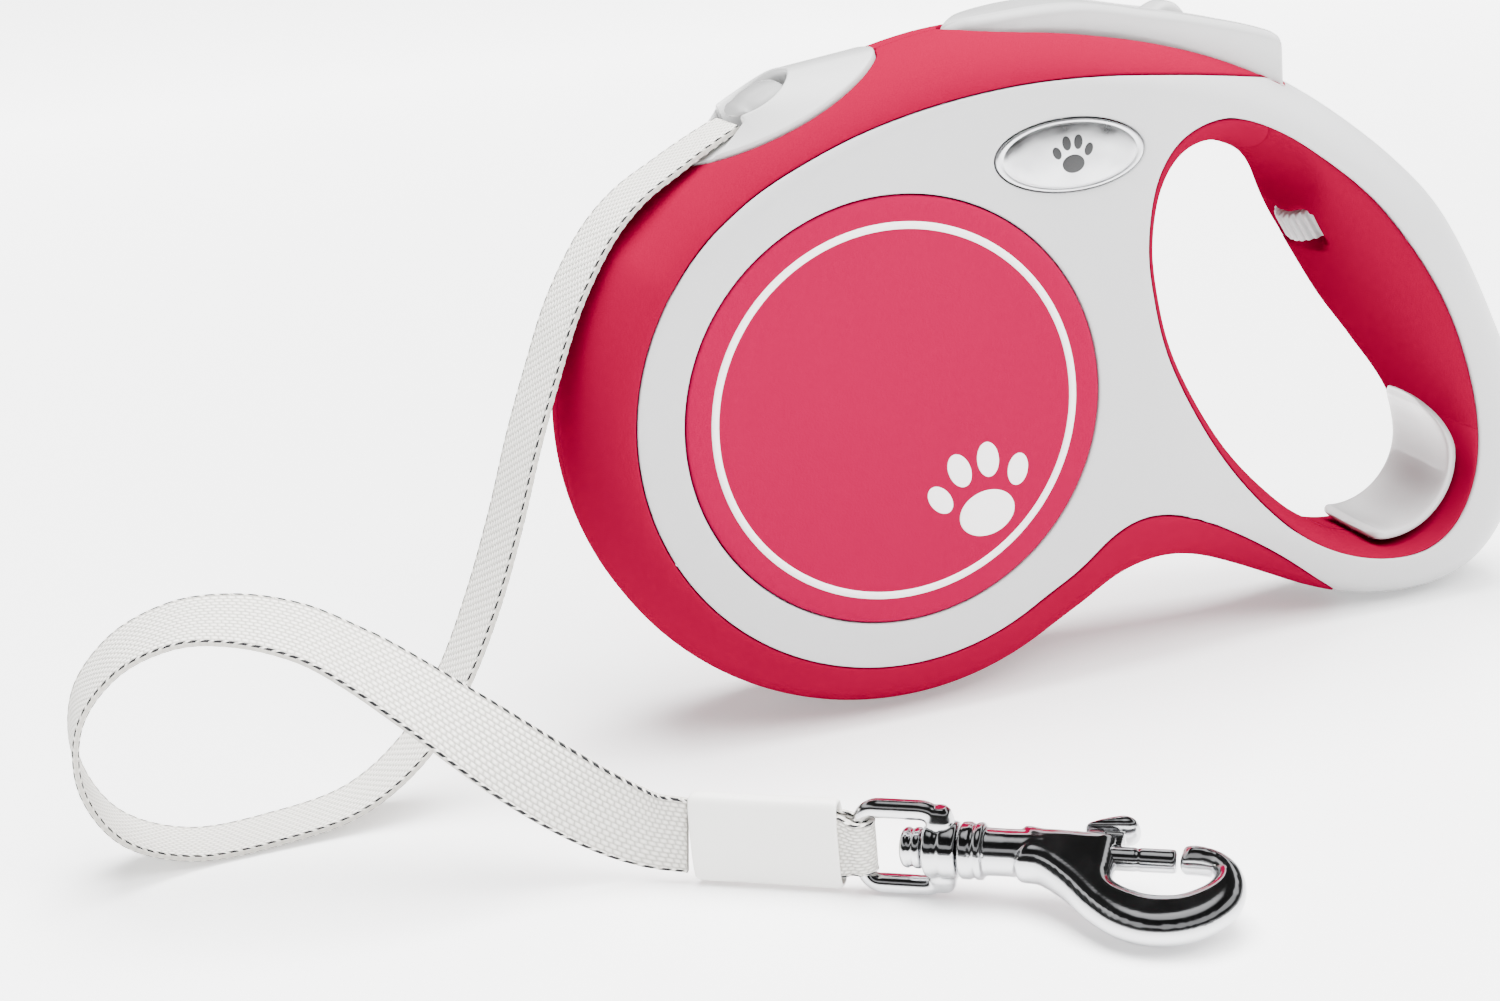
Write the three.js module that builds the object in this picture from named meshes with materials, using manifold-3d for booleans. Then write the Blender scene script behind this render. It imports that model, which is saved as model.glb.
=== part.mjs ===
// Retractable tape dog leash: a two-shell casing with a spring reel, a thumb brake, a size-adjusting
// handle, and a webbing tape that ends in a swivel bolt snap. Millimetres, +Z up, +X from the tape
// outlet to the handle. The casing stands on the floor z = 0 and is symmetric about y = 0.
import * as THREE from "three";
import { mergeVertices } from "three/addons/utils/BufferGeometryUtils.js";
import Module from "manifold-3d";

const wasm = await Module();
wasm.setup();

// ---------------------------------------------------------------- driving dimensions
const GAP = 0.35; // air between neighbouring pieces
const SEAM = 0.15; // half of the parting line between the two shells
const DISC_Z = 66; // height of the reel axis; the disc stands on z = 0
const DISC_HALF = 21; // half thickness of the casing at the disc
const GRIP_HALF = 17; // half thickness at the handle
const SLOPE_FROM = 58; // the side faces slope from the disc's level to the handle's between these
const SLOPE_TO = 84;
const RIM = { radial: 12, deep: 18.5 }; // rounding of the disc's rim
const HANDLE_RIM = { radial: 13, deep: 15 };
const SKIN = 2.4; // thickness of the side frames
const RING_RADIUS = 54; // outer edge of the side frame round the disc
const CAP_RADIUS = 44;
const CHAMBER_RADIUS = 55;
const CHAMBER_HALF = 16.2;
const OUTLINE_CENTRE_X = 1;
const BOX_CENTRE_X = 43.3; // middle of the casing's length, measured from the reel axis

const REEL = { hub: 22, bore: 19.6, flange: 50.4, tooth: 52.6, half: 8, plate: 1.5, teeth: 20 };
const AXLE_RADIUS = 3;
const WOUND_RADIUS = 46;
const TAPE = { width: 15, thick: 1.3 };

const WHEEL = { x: 107.4, z: 90.2, radius: 9.5, half: 3.5, ribs: 30 };
const GRIP_AXIS = new THREE.Vector2(0.479, -0.878); // direction of the spindle, down along the grip
const SPINDLE = { radius: 1.8, from: -6, to: 44 };
const GUARD = { x: 116.4, z: 31.9, inner: 15, outer: 17.6, half: 12, travel: 7 };

const BUTTON_PIVOT = { x: 86, z: 118.6 };
const BUTTON_PRESS = THREE.MathUtils.degToRad(3);
const SPRING_SEAT = { x: 50, z: 122.6, radius: 4.2 };

const LINE_YAW = -35; // the sleeve, eye and hook lie along this heading, in degrees about Z
const LINE_START = new THREE.Vector3(-22.3, -101, 9.2); // where the hook's collar begins
const EYE_HALF_HEIGHT = 8.7;
const ROD_RADIUS = 1.4;
const HOOK_ROLL = -72; // the bend of the hook rests on the floor, turned about the swivel

// ---------------------------------------------------------------- materials
const finish = (color, roughness, metalness = 0) =>
  new THREE.MeshStandardMaterial({ color, roughness, metalness });
const RED = finish(0xd5184f, 0.5);
const SOFT_RED = finish(0xcc1450, 0.7);
const GREY = finish(0xd3d3d2, 0.4);
const GLOSS_GREY = finish(0xd9d9d9, 0.2);
const SILVER = finish(0xe4e6e8, 0.12, 0.8);
const CHROME = finish(0xc9cbce, 0.08, 1);
const STEEL = finish(0x8d9094, 0.35, 1);
const BLACK = finish(0x26272a, 0.6);
const WEBBING = finish(0xe1ded7, 0.9);
const IVORY = finish(0xeeece8, 0.35);

// ---------------------------------------------------------------- geometry helpers
function solidOf(geometry) {
  const bare = geometry.clone();
  bare.deleteAttribute("normal");
  bare.deleteAttribute("uv");
  const merged = mergeVertices(bare, 1e-4);
  return new wasm.Manifold(
    new wasm.Mesh({
      numProp: 3,
      vertProperties: merged.attributes.position.array,
      triVerts: new Uint32Array(merged.index.array),
    }),
  );
}

function geometryOf(solid) {
  const mesh = solid.getMesh();
  const geometry = new THREE.BufferGeometry();
  geometry.setAttribute("position", new THREE.BufferAttribute(mesh.vertProperties, 3));
  geometry.setIndex(new THREE.BufferAttribute(mesh.triVerts, 1));
  return geometry;
}

const union = (...solids) => solids.reduce((sum, solid) => sum.add(solid));
const cut = (solid, ...tools) => tools.reduce((rest, tool) => rest.subtract(tool), solid);

const vectors = (points) => points.map(([x, z]) => new THREE.Vector2(x, z));
const shapeOf = (points) => new THREE.Shape(points);

function arc(x, z, radius, fromDegrees, toDegrees, steps) {
  return Array.from({ length: steps + 1 }, (_, i) => {
    const a = THREE.MathUtils.degToRad(fromDegrees + ((toDegrees - fromDegrees) * i) / steps);
    return new THREE.Vector2(x + radius * Math.cos(a), z + radius * Math.sin(a));
  });
}

const spline = (points, steps) => new THREE.SplineCurve(vectors(points)).getSpacedPoints(steps);

function closedSpline(points, steps) {
  const curve = new THREE.CatmullRomCurve3(
    points.map(([x, z]) => new THREE.Vector3(x, z, 0)),
    true,
  );
  return curve
    .getSpacedPoints(steps)
    .slice(0, steps)
    .map((p) => new THREE.Vector2(p.x, p.y));
}

// An outline in the XZ plane, extruded along Y from y0 to y1.
function prism(points, y0, y1) {
  const geometry = new THREE.ExtrudeGeometry(shapeOf(points), { depth: y1 - y0, bevelEnabled: false });
  geometry.rotateX(Math.PI / 2);
  geometry.translate(0, y1, 0);
  return solidOf(geometry);
}

// An outline in the XZ plane, extruded to both sides of y = 0 with rounded edges.
function rounded(points, half, { radial, deep, inset = 0, segments = 4, holes = [] }) {
  const shape = shapeOf(points);
  shape.holes = holes.map((hole) => new THREE.Path(hole));
  const geometry = new THREE.ExtrudeGeometry(shape, {
    depth: 2 * (half - deep),
    bevelThickness: deep,
    bevelSize: radial,
    bevelOffset: -radial - inset,
    bevelSegments: segments,
  });
  geometry.translate(0, 0, deep - half);
  geometry.rotateX(Math.PI / 2);
  return solidOf(geometry);
}

function box(x0, x1, y0, y1, z0, z1) {
  const geometry = new THREE.BoxGeometry(x1 - x0, y1 - y0, z1 - z0);
  geometry.translate((x0 + x1) / 2, (y0 + y1) / 2, (z0 + z1) / 2);
  return solidOf(geometry);
}

// A body of revolution about a line along Y through (x, z); the profile is [radius, y] pairs.
function turned(profile, segments, x = 0, z = 0) {
  const geometry = new THREE.LatheGeometry(vectors(profile), segments);
  geometry.translate(x, 0, z);
  return solidOf(geometry);
}

const rod = (radius, y0, y1, x, z, segments = 24) =>
  turned([[0, y0], [radius, y0], [radius, y1], [0, y1]], segments, x, z);

// The same about the X axis, for the pieces of the hook.
function turnedX(profile, segments) {
  const geometry = new THREE.LatheGeometry(vectors(profile), segments);
  geometry.rotateZ(-Math.PI / 2);
  return solidOf(geometry);
}

const rodX = (radius, x0, x1, segments = 20) =>
  turnedX([[0, x0], [radius, x0], [radius, x1], [0, x1]], segments);

// A helical compression spring along +Z.
function coil(radius, wire, height, turns, stepsPerTurn = 8, sides = 5) {
  const points = Array.from({ length: turns * stepsPerTurn + 1 }, (_, i) => {
    const a = (2 * Math.PI * i) / stepsPerTurn;
    const z = wire + ((height - 2 * wire) * i) / (turns * stepsPerTurn);
    return new THREE.Vector3(radius * Math.cos(a), radius * Math.sin(a), z);
  });
  return new THREE.ExtrudeGeometry(shapeOf(arc(0, 0, wire, 0, 360, sides).slice(0, sides)), {
    steps: turns * stepsPerTurn,
    bevelEnabled: false,
    extrudePath: new THREE.CatmullRomCurve3(points),
  });
}

// Moves a solid built about its own X axis so that its axis runs along a direction in the XZ plane.
function placed(solid, x, z, direction) {
  const geometry = geometryOf(solid);
  geometry.rotateY(-Math.atan2(direction.y, direction.x));
  geometry.translate(x, 0, z);
  return solidOf(geometry);
}

function mirrored(solid) {
  const geometry = geometryOf(solid);
  geometry.scale(1, -1, 1);
  const order = geometry.index.array;
  for (let i = 0; i < order.length; i += 3) {
    [order[i + 1], order[i + 2]] = [order[i + 2], order[i + 1]];
  }
  return solidOf(geometry);
}

// ---------------------------------------------------------------- outlines of the side view
// The disc's arc, the web below it, the handle, and the long top edge back to the disc.
const OUTLINE = [
  ...arc(OUTLINE_CENTRE_X, DISC_Z, DISC_Z, 144, 301, 24),
  ...spline(
    [
      [43, 13.6], [50, 17.6], [57, 19.6], [64, 19.7], [72, 17.8], [81, 14], [90, 9.6], [100, 4.8],
      [111, 1.2], [124, 0], [136, 2.4], [145, 9.6], [150, 20], [151.6, 35], [149.2, 51], [144.2, 64.5],
      [138, 78], [131, 89.6], [121.5, 99.8], [111, 108.8], [100, 116.8], [88, 123.8], [74, 129.8],
      [58, 134.6], [41, 137.8], [24, 138.4], [8, 135.9], [-8, 130.8], [-24, 123.9], [-39, 115],
    ],
    46,
  ),
];

const HOLE_EDGE_POINTS = [
  [76, 115], [66, 112.6], [60, 106], [57.2, 96], [57, 84], [61, 65.5], [73, 43], [89.5, 23.6],
  [104, 14.4], [119.5, 12], [130, 17], [135.6, 30], [134.6, 48], [127, 70], [112.5, 91.5], [97, 105.5],
  [86, 112.4],
];
const HOLE_EDGE = closedSpline(HOLE_EDGE_POINTS, 38);

// The crest of the red wall round the hand hole, inside the edge of the grey frame.
const LINER_CREST = closedSpline(
  [
    [86, 106], [78, 108.4], [70, 107.2], [64.5, 102.6], [61.3, 95], [60.6, 85], [64.4, 67], [76, 45.6],
    [91.5, 27.6], [104, 18], [112, 14.6], [119.5, 13.8], [127.8, 18.2], [134, 30], [130, 46], [122, 65],
    [108, 86], [96, 100],
  ],
  36,
);

// Where the grey side frame ends: round the disc, over the web, and past the handle's outside.
const FRAME_EDGE = [
  ...arc(0, DISC_Z, RING_RADIUS, 122, 305, 28),
  ...spline(
    [[38, 25.4], [46, 31.4], [53, 34], [60, 33.4], [68, 30], [78, 24], [88, 17], [97, 9.8], [108, 1]],
    14,
  ),
  ...vectors([[112, -8], [170, -8], [170, 130], [106, 130], [99, 119]]),
  ...spline(
    [[92, 121], [84, 122.4], [66, 125.4], [48, 127.6], [30, 128], [12, 126.2], [-4, 123], [-18, 118]],
    16,
  ),
];

const SIDE_PROFILE = [
  [-80, -DISC_HALF], [SLOPE_FROM, -DISC_HALF], [SLOPE_TO, -GRIP_HALF], [170, -GRIP_HALF],
];

// Everything whose |y| stays below the sloping side face, inset by the given depth.
function sideWedge(inset) {
  const near = SIDE_PROFILE.map(([x, y]) => [x, y + inset]);
  const far = near.map(([x, y]) => [x, -y]).reverse();
  const geometry = new THREE.ExtrudeGeometry(shapeOf(vectors([...near, ...far])), {
    depth: 200,
    bevelEnabled: false,
  });
  geometry.translate(0, 0, -30);
  return solidOf(geometry);
}

const NEAR_HALF = box(-90, 180, -40, -SEAM, -30, 170);

// The outer form of the whole casing, or the same form set in by an even depth.
function casingForm(inset) {
  const rim = ({ radial, deep }) => ({ radial: radial - inset, deep: deep - inset, inset });
  const disc = rounded(OUTLINE, DISC_HALF - inset, rim(RIM));
  const handle = rounded(OUTLINE, GRIP_HALF - inset, rim(HANDLE_RIM));
  const discPart = disc.intersect(box(-90, SLOPE_TO, -40, 40, -30, 170));
  return union(discPart, handle).intersect(sideWedge(inset));
}

const FORM = casingForm(0);

// ---------------------------------------------------------------- tape outlet
// The outlet is a low hood on the casing's top edge. Its own frame has x along that edge, from a middle
// at x, z, and z square to it.
const NOZZLE = { x: -13.8, z: 127.4, tilt: 23.5, along: 22.3, across: 13, proud: 0.9 };
const HOOD = { along: 20.6, across: 12.4, rise: 5.2 };
const MOUTH = { x: -3.4, along: 7.2, across: 7.9 };
const NOZZLE_DIRECTION = new THREE.Vector2(1, 0).rotateAround(
  new THREE.Vector2(), THREE.MathUtils.degToRad(NOZZLE.tilt),
);

function onTopEdge(geometry) {
  geometry.rotateY(THREE.MathUtils.degToRad(-NOZZLE.tilt));
  geometry.translate(NOZZLE.x, 0, NOZZLE.z);
  return solidOf(geometry);
}

// An oval column square to the top edge.
function ovalColumn({ x = 0, along, across }, down, up) {
  const oval = arc(0, 0, 1, 0, 360, 28).slice(0, 28);
  const outline = oval.map((p) => [x + along * p.x, across * p.y]);
  const geometry = new THREE.ExtrudeGeometry(shapeOf(vectors(outline)), {
    depth: up - down,
    bevelEnabled: false,
  });
  geometry.translate(0, 0, down);
  return onTopEdge(geometry);
}

const nozzlePlug = (grow, down, up) =>
  ovalColumn({ along: NOZZLE.along + grow, across: NOZZLE.across + grow }, down, up);

// The tape's way out of the casing: from the wound tape up to the outlet.
const TAPE_RUN = [[-23.5, 112], [-21.6, 117], [-20.9, 121], [-21.6, 123.6]];

function channel(clear, half) {
  const line = spline(TAPE_RUN, 8);
  const side = (sign) =>
    line.map((p, i) => {
      const next = line[Math.min(i + 1, line.length - 1)];
      const last = line[Math.max(i - 1, 0)];
      const along = next.clone().sub(last).normalize();
      return new THREE.Vector2(p.x - sign * along.y * clear, p.y + sign * along.x * clear);
    });
  return prism([...side(1), ...side(-1).reverse()], -half, half);
}

// The open bed that the tape lies over, in front of the mouth.
function tapeBed() {
  const floor = [[-42, 114.6], [-37, 117.2], [-29.6, 121], [-22, 124.2]];
  const half = TAPE.width / 2 + GAP;
  return prism(vectors([...floor, [-22, 140], [-42, 140]]), -half, half);
}

function tapeNozzle() {
  const patch = rounded(OUTLINE, DISC_HALF, { ...RIM, inset: -NOZZLE.proud }).intersect(nozzlePlug(0, -7, 8));
  const dome = new THREE.SphereGeometry(1, 28, 14);
  dome.scale(HOOD.along, HOOD.across, HOOD.rise);
  const mouth = ovalColumn(MOUTH, -8, 10);
  return cut(union(patch, onTopEdge(dome)), mouth, channel(1.6, 8.2), tapeBed());
}

// The rounded tongue in the mouth, which the tape bends round.
function tapeGuide() {
  const side = [
    [-9.3, 2.9], [-8.6, 4.1], [-6, 5], [-3, 5.3], [0.4, 5], [2.6, 3.8], [3, 1.6], [2.2, -2.5], [-5.4, -2.5],
    [-6.4, 0.2], [-7.3, 2.2],
  ];
  const bar = rounded(vectors(side), MOUTH.across - 1, { radial: 0.6, deep: 2.6, segments: 3 });
  const inside = ovalColumn({ x: MOUTH.x, along: MOUTH.along - 0.5, across: MOUTH.across - 0.8 }, -8, 10);
  return placed(bar, NOZZLE.x, NOZZLE.z, NOZZLE_DIRECTION).intersect(inside);
}

// ---------------------------------------------------------------- brake button
const BUTTON_SIDE = [
  [23.6, 138.2], [30, 140.2], [40, 141], [51, 140.4], [58, 138.4], [63, 135.8], [78, 132.8], [92, 129],
  [94.4, 127], [94.4, 119], [89.4, 116], [82.6, 116], [79, 121.6], [60, 130], [34, 133],
];

const BUTTON_TOP_POINTS = 9; // the first points of that outline run over the top of the button
const BUTTON_HALF = 9.6;
const BUTTON_PLAN = [[22.6, -0.2], [27, -5.4], [36, -8.6], [50, -BUTTON_HALF], [97, -BUTTON_HALF]];

function buttonForm(grow, side = BUTTON_SIDE) {
  const body = rounded(vectors(side), BUTTON_HALF + grow, {
    radial: 1.6, deep: 2.2, inset: -grow, segments: 3,
  });
  const near = BUTTON_PLAN.map(([x, y]) => [x - grow, y - grow]);
  const outline = [...near, ...near.map(([x, y]) => [x, -y]).reverse()];
  const geometry = new THREE.ExtrudeGeometry(shapeOf(vectors(outline)), { depth: 40, bevelEnabled: false });
  geometry.translate(0, 0, 110);
  return body.intersect(solidOf(geometry));
}

const pawl = (grow) =>
  prism(
    vectors([
      [24.2 - grow, 136], [24.2 - grow, 114.4], [26.2 - grow, 112.6 - grow], [29 + grow, 111.4 - grow],
      [31 + grow, 114], [31 + grow, 136],
    ]),
    -9 - grow,
    9 + grow,
  );

const pinBore = () => rod(1.9, -12.9, 12.9, BUTTON_PIVOT.x, BUTTON_PIVOT.z, 12);

const SLIDE_TRACK = vectors([[58.8, 142], [58.8, 135.3], [77.4, 131.2], [77.4, 142]]);

function brakeButton() {
  const bore = rod(1.9, -20, 20, BUTTON_PIVOT.x, BUTTON_PIVOT.z, 12);
  const track = prism(SLIDE_TRACK, -4.4, 4.4);
  return cut(union(buttonForm(0), pawl(0)), bore, track);
}

const POCKET_GAP = 0.5;
const POCKET_STOPS = [0.5, 1.05].map((share) => share * BUTTON_PRESS); // the last is past full press

// A point of the button's side view after a full press, and a little more.
const pressed = ([x, z]) =>
  new THREE.Vector2(x, z)
    .rotateAround(new THREE.Vector2(BUTTON_PIVOT.x, BUTTON_PIVOT.z), POCKET_STOPS.at(-1))
    .toArray();

function swung(solid, angle) {
  const geometry = geometryOf(solid);
  geometry.translate(-BUTTON_PIVOT.x, 0, -BUTTON_PIVOT.z);
  geometry.rotateY(-angle);
  geometry.translate(BUTTON_PIVOT.x, 0, BUTTON_PIVOT.z);
  return solidOf(geometry);
}

// The space that the pressed button sweeps, cut out of the shells.
function buttonPocket() {
  const underside = BUTTON_SIDE.slice(BUTTON_TOP_POINTS).map(pressed);
  const swept = [...BUTTON_SIDE.slice(0, BUTTON_TOP_POINTS), ...underside, pressed(BUTTON_SIDE[0])];
  const spring = new THREE.CylinderGeometry(SPRING_SEAT.radius, SPRING_SEAT.radius, 14, 20);
  spring.rotateX(Math.PI / 2);
  spring.translate(SPRING_SEAT.x, 0, SPRING_SEAT.z + 7);
  const button = buttonForm(POCKET_GAP);
  const finger = pawl(POCKET_GAP);
  return union(
    button,
    buttonForm(POCKET_GAP, swept),
    finger,
    ...POCKET_STOPS.flatMap((angle) => [swung(button, angle), swung(finger, angle)]),
    solidOf(spring),
  );
}

function lockSlide() {
  const side = [[64.4, 134.4], [67.8, 135.4], [70.2, 137], [72.6, 136.2], [76.6, 131.8]];
  return rounded(vectors(side), 4, { radial: 0.3, deep: 0.8, segments: 2 });
}

// ---------------------------------------------------------------- casing shells, frames and caps
const SCREWS = [[47.5, 102], [54, 40], [140.4, 37], [66.5, 120], [-44, 26]];
const SCREW = { head: 3, shank: 1.5, headFrom: 10.6, headTo: 12.6, tip: -10 };

function screwBore(x, z) {
  const wide = SCREW.head + 0.4;
  const narrow = SCREW.shank + 0.3;
  const floor = SCREW.headFrom - 0.4;
  return turned(
    [[0, SCREW.tip - 0.5], [narrow, SCREW.tip - 0.5], [narrow, floor], [wide, floor], [wide, 30], [0, 30]],
    16, x, z,
  );
}

function casingScrew(x, z) {
  const { head, shank, headFrom, headTo, tip } = SCREW;
  return turned(
    [[0, tip], [shank, tip], [shank, headFrom], [head, headFrom], [head, headTo], [0, headTo]],
    16, x, z,
  );
}

// The opening that the rounded red wall leaves: everything inside its crest, flaring to the faces.
function handOpening() {
  const square = vectors([[40, -10], [160, -10], [160, 130], [40, 130]]);
  const wall = rounded(square, GRIP_HALF + 1, { radial: 3, deep: 6, segments: 3, holes: [LINER_CREST] });
  return cut(box(45, 150, -30, 30, 2, 125), wall);
}

// The grip fills the bay between the hand hole's edge and these two limits.
const GRIP_FROM_X = 86.3;
const GRIP_FROM_Z = 37.6;
const HOLE_PRISM = prism(HOLE_EDGE, -30, 30);

const gripBay = (gap) => box(GRIP_FROM_X + gap, 150, -30, 30, GRIP_FROM_Z + gap, 125);

function wheelBore(extraRadius, extraHalf) {
  return placed(rodX(WHEEL.radius + extraRadius, -WHEEL.half - extraHalf, WHEEL.half + extraHalf, 28),
    WHEEL.x, WHEEL.z, GRIP_AXIS);
}

function nearShell() {
  const recess = cut(prism(FRAME_EDGE, -40, 40), casingForm(SKIN + GAP));
  const chamber = rod(CHAMBER_RADIUS, -CHAMBER_HALF, CHAMBER_HALF, 0, DISC_Z, 44);
  const boss = turned(
    [
      [AXLE_RADIUS + GAP, -16.8], [7, -16.8], [7, -12.2], [AXLE_RADIUS + GAP, -12.2],
      [AXLE_RADIUS + GAP, -16.8],
    ],
    24, 0, DISC_Z,
  );
  const plate = rod(8, -CHAMBER_HALF - 1, -15.6, 0, DISC_Z, 24);
  const hollow = prism(
    [
      ...spline([[110, 103.6], [121, 94.8], [130.6, 83], [137.4, 70], [142.4, 57]], 8),
      ...spline([[139.6, 52], [134, 68], [122.6, 86], [108, 99.6]], 8),
    ],
    -12, 12,
  );
  const walls = cut(
    FORM.intersect(NEAR_HALF),
    recess, handOpening(), HOLE_PRISM.intersect(gripBay(0)), hollow,
    nozzlePlug(GAP, -9, 12), channel(1.6, 8.2),
    buttonPocket(), wheelBore(0.5, 0.5), guardRoom(), pinBore(),
    ...SCREWS.map(([x, z]) => screwBore(x, z)),
  );
  return union(cut(walls, chamber), boss, plate);
}

function farShell(near) {
  return cut(mirrored(near), ...SCREWS.map(([x, z]) => screwBore(x, z)));
}

const BADGE = { x: 40.4, z: 112.8, along: 16, up: 7.2, turn: THREE.MathUtils.degToRad(2.3) };

function badgeHole() {
  const geometry = new THREE.CylinderGeometry(1, 1, 20, 32);
  geometry.scale(BADGE.along + GAP, 1, BADGE.up + GAP);
  geometry.rotateY(BADGE.turn);
  geometry.translate(BADGE.x, -DISC_HALF, BADGE.z);
  return solidOf(geometry);
}

function nearFrame() {
  const layer = cut(FORM.intersect(NEAR_HALF), casingForm(SKIN));
  const region = prism(FRAME_EDGE, -40, 0);
  const capHole = rod(CAP_RADIUS + GAP, -40, 0, 0, DISC_Z, 52);
  return cut(layer.intersect(region), capHole, HOLE_PRISM, badgeHole(), buttonPocket(), pinBore());
}

function nearCap() {
  const face = -DISC_HALF + 0.1;
  const back = -DISC_HALF + SKIN;
  return turned(
    [[0, face], [CAP_RADIUS - 0.8, face], [CAP_RADIUS, face + 0.7], [CAP_RADIUS, back], [0, back]],
    52, 0, DISC_Z,
  );
}

// A low dome over an elliptic plate, with a narrow flat rim.
function nearBadge() {
  const profile = [
    [0, -22.3], [0.4, -22.2], [0.75, -21.9], [0.9, -21.5], [0.92, -21.1], [1, -21.1], [1, -19.6], [0, -19.6],
  ];
  const geometry = new THREE.LatheGeometry(vectors(profile), 28);
  geometry.scale(BADGE.along, 1, BADGE.up);
  geometry.rotateY(BADGE.turn);
  geometry.translate(BADGE.x, 0, BADGE.z);
  return solidOf(geometry);
}

// ---------------------------------------------------------------- handle pieces
const GRIP_LINE = [
  [62, 109], [78, 107.6], [88.7, 104.8], [93.4, 101.4], [96.8, 96.6], [98.4, 89.6], [101.8, 82.2],
  [109.4, 68.6], [117.6, 57.6], [124, 48.6], [130.4, 37.6], [136, 24], [140, 8],
];

const alongGrip = (distance, aside) => [
  WHEEL.x + GRIP_AXIS.x * distance - GRIP_AXIS.y * aside,
  WHEEL.z + GRIP_AXIS.y * distance + GRIP_AXIS.x * aside,
];

const spindleBore = (grow, from, to) =>
  placed(rodX(SPINDLE.radius + grow, from, to, 16), WHEEL.x, WHEEL.z, GRIP_AXIS);

// The guard is a crescent under the fingers, with an arm that takes the spindle's thread.
const ARM = { from: 35.5, aside: 3.4, half: 4.5 };

function gripGuard() {
  const inner = arc(GUARD.x, GUARD.z, GUARD.inner, -105, 36, 16);
  const outer = arc(GUARD.x, GUARD.z, GUARD.outer, 22, -105, 14);
  const outline = [...inner, new THREE.Vector2(125.8, 45.8), ...outer];
  const crescent = rounded(outline, GUARD.half, { radial: 0.9, deep: 2.4, segments: 3 });
  const armOutline = vectors([
    alongGrip(ARM.from, -ARM.aside), alongGrip(ARM.from, ARM.aside), alongGrip(47, ARM.aside),
    [133.2, 38], [130.8, 36.5], [130.2, 42], alongGrip(45, -ARM.aside),
  ]);
  return cut(union(crescent, prism(armOutline, -ARM.half, ARM.half)), spindleBore(0.3, 30, 54));
}

// The room that the shells leave for the guard, open to the hand hole.
function guardRoom() {
  const outline = [
    ...arc(GUARD.x, GUARD.z, GUARD.outer + 0.5, 40, -108, 16), ...vectors([[113, 24], [122, 48]]),
  ];
  return prism(outline, -GUARD.half - 0.4, GUARD.half + 0.4);
}

// The slot and the notch in the grip's lower end that the guard moves up into.
function guardTrack() {
  const side = ARM.aside + 0.4;
  const top = ARM.from - GUARD.travel - 0.6;
  const slot = [alongGrip(top, -side), alongGrip(top, side), alongGrip(64, side), alongGrip(64, -side)];
  const notch = [[126.4, 35], [121.6, 52.8], [130, 45.4], [135, 35]];
  const slotHalf = ARM.half + 0.4;
  const notchHalf = GUARD.half + 0.4;
  return union(prism(vectors(slot), -slotHalf, slotHalf), prism(vectors(notch), -notchHalf, notchHalf));
}

function gripBar() {
  const crest = spline(GRIP_LINE, 30);
  const back = vectors([[190, 8], [190, 160], [62, 160]]);
  const body = rounded([...crest, ...back], GRIP_HALF - 0.3, { radial: 11, deep: 14, segments: 4 });
  return cut(
    body.intersect(shrunkHole(GAP)).intersect(gripBay(GAP)),
    wheelBore(0.4, 0.4), spindleBore(0.4, -7, 50), guardTrack(),
  );
}

// The hand hole's edge moved inwards by an even distance.
function shrunkHole(distance) {
  return rounded(HOLE_EDGE, 30, { radial: 0.01, deep: 0.01, inset: distance, segments: 1 });
}

// A thumbwheel with rounded ribs parallel to its axis, turned to lie along the grip.
function adjustWheel() {
  const shape = new THREE.Shape();
  const points = 2 * WHEEL.ribs;
  for (let i = 0; i < points; i += 1) {
    const a = (2 * Math.PI * i) / points;
    const r = WHEEL.radius - (i % 2) * 0.8;
    shape[i ? "lineTo" : "moveTo"](r * Math.cos(a), r * Math.sin(a));
  }
  const geometry = new THREE.ExtrudeGeometry(shape, {
    depth: 2 * WHEEL.half - 1, bevelThickness: 0.5, bevelSize: 0.5, bevelOffset: -0.5, bevelSegments: 1,
  });
  geometry.translate(0, 0, 0.5 - WHEEL.half);
  geometry.rotateY(Math.PI / 2);
  const bore = rodX(SPINDLE.radius + 0.3, -10, 10, 16);
  return cut(solidOf(geometry), bore);
}

// ---------------------------------------------------------------- reel, spring and tape inside
const TOOTH_PHASE = 56; // a gap between two teeth stands under the pawl

function flangePlate(y0, y1) {
  const outline = [];
  for (let i = 0; i < REEL.teeth; i += 1) {
    const pitch = 360 / REEL.teeth;
    const start = TOOTH_PHASE + pitch * i;
    outline.push(...arc(0, 0, REEL.flange, start, start + pitch * 0.55, 1));
    outline.push(...arc(0, 0, REEL.tooth, start + pitch * 0.6, start + pitch * 0.85, 1));
  }
  return prism(outline, y0, y1);
}

function reel() {
  const { hub, bore, half, plate } = REEL;
  const barrel = turned(
    [[bore, -half - plate], [hub, -half - plate], [hub, half + plate], [AXLE_RADIUS + GAP, half + plate],
      [AXLE_RADIUS + GAP, half], [bore, half], [bore, -half - plate]],
    40,
  );
  const near = cut(flangePlate(-half - plate, -half), rod(hub - 0.5, -20, 0, 0, 0, 40));
  const far = cut(flangePlate(half, half + plate), rod(hub - 0.5, 0, 20, 0, 0, 40));
  return union(barrel, near, far);
}

function mainspring() {
  const turns = 5;
  const steps = 15 * turns;
  const from = 5;
  const to = REEL.bore - 1;
  const strip = 0.5;
  const side = (offset) =>
    Array.from({ length: steps + 1 }, (_, i) => {
      const a = (2 * Math.PI * turns * i) / steps;
      const r = from + ((to - from) * i) / steps + offset;
      return new THREE.Vector2(r * Math.cos(a), r * Math.sin(a));
    });
  return prism([...side(strip), ...side(-strip).reverse()], -REEL.half + 0.4, REEL.half - 0.6);
}

const springCover = () =>
  turned(
    [[AXLE_RADIUS + GAP, -11], [21, -11], [21, -9.8], [AXLE_RADIUS + GAP, -9.8], [AXLE_RADIUS + GAP, -11]],
    40,
  );

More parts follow.
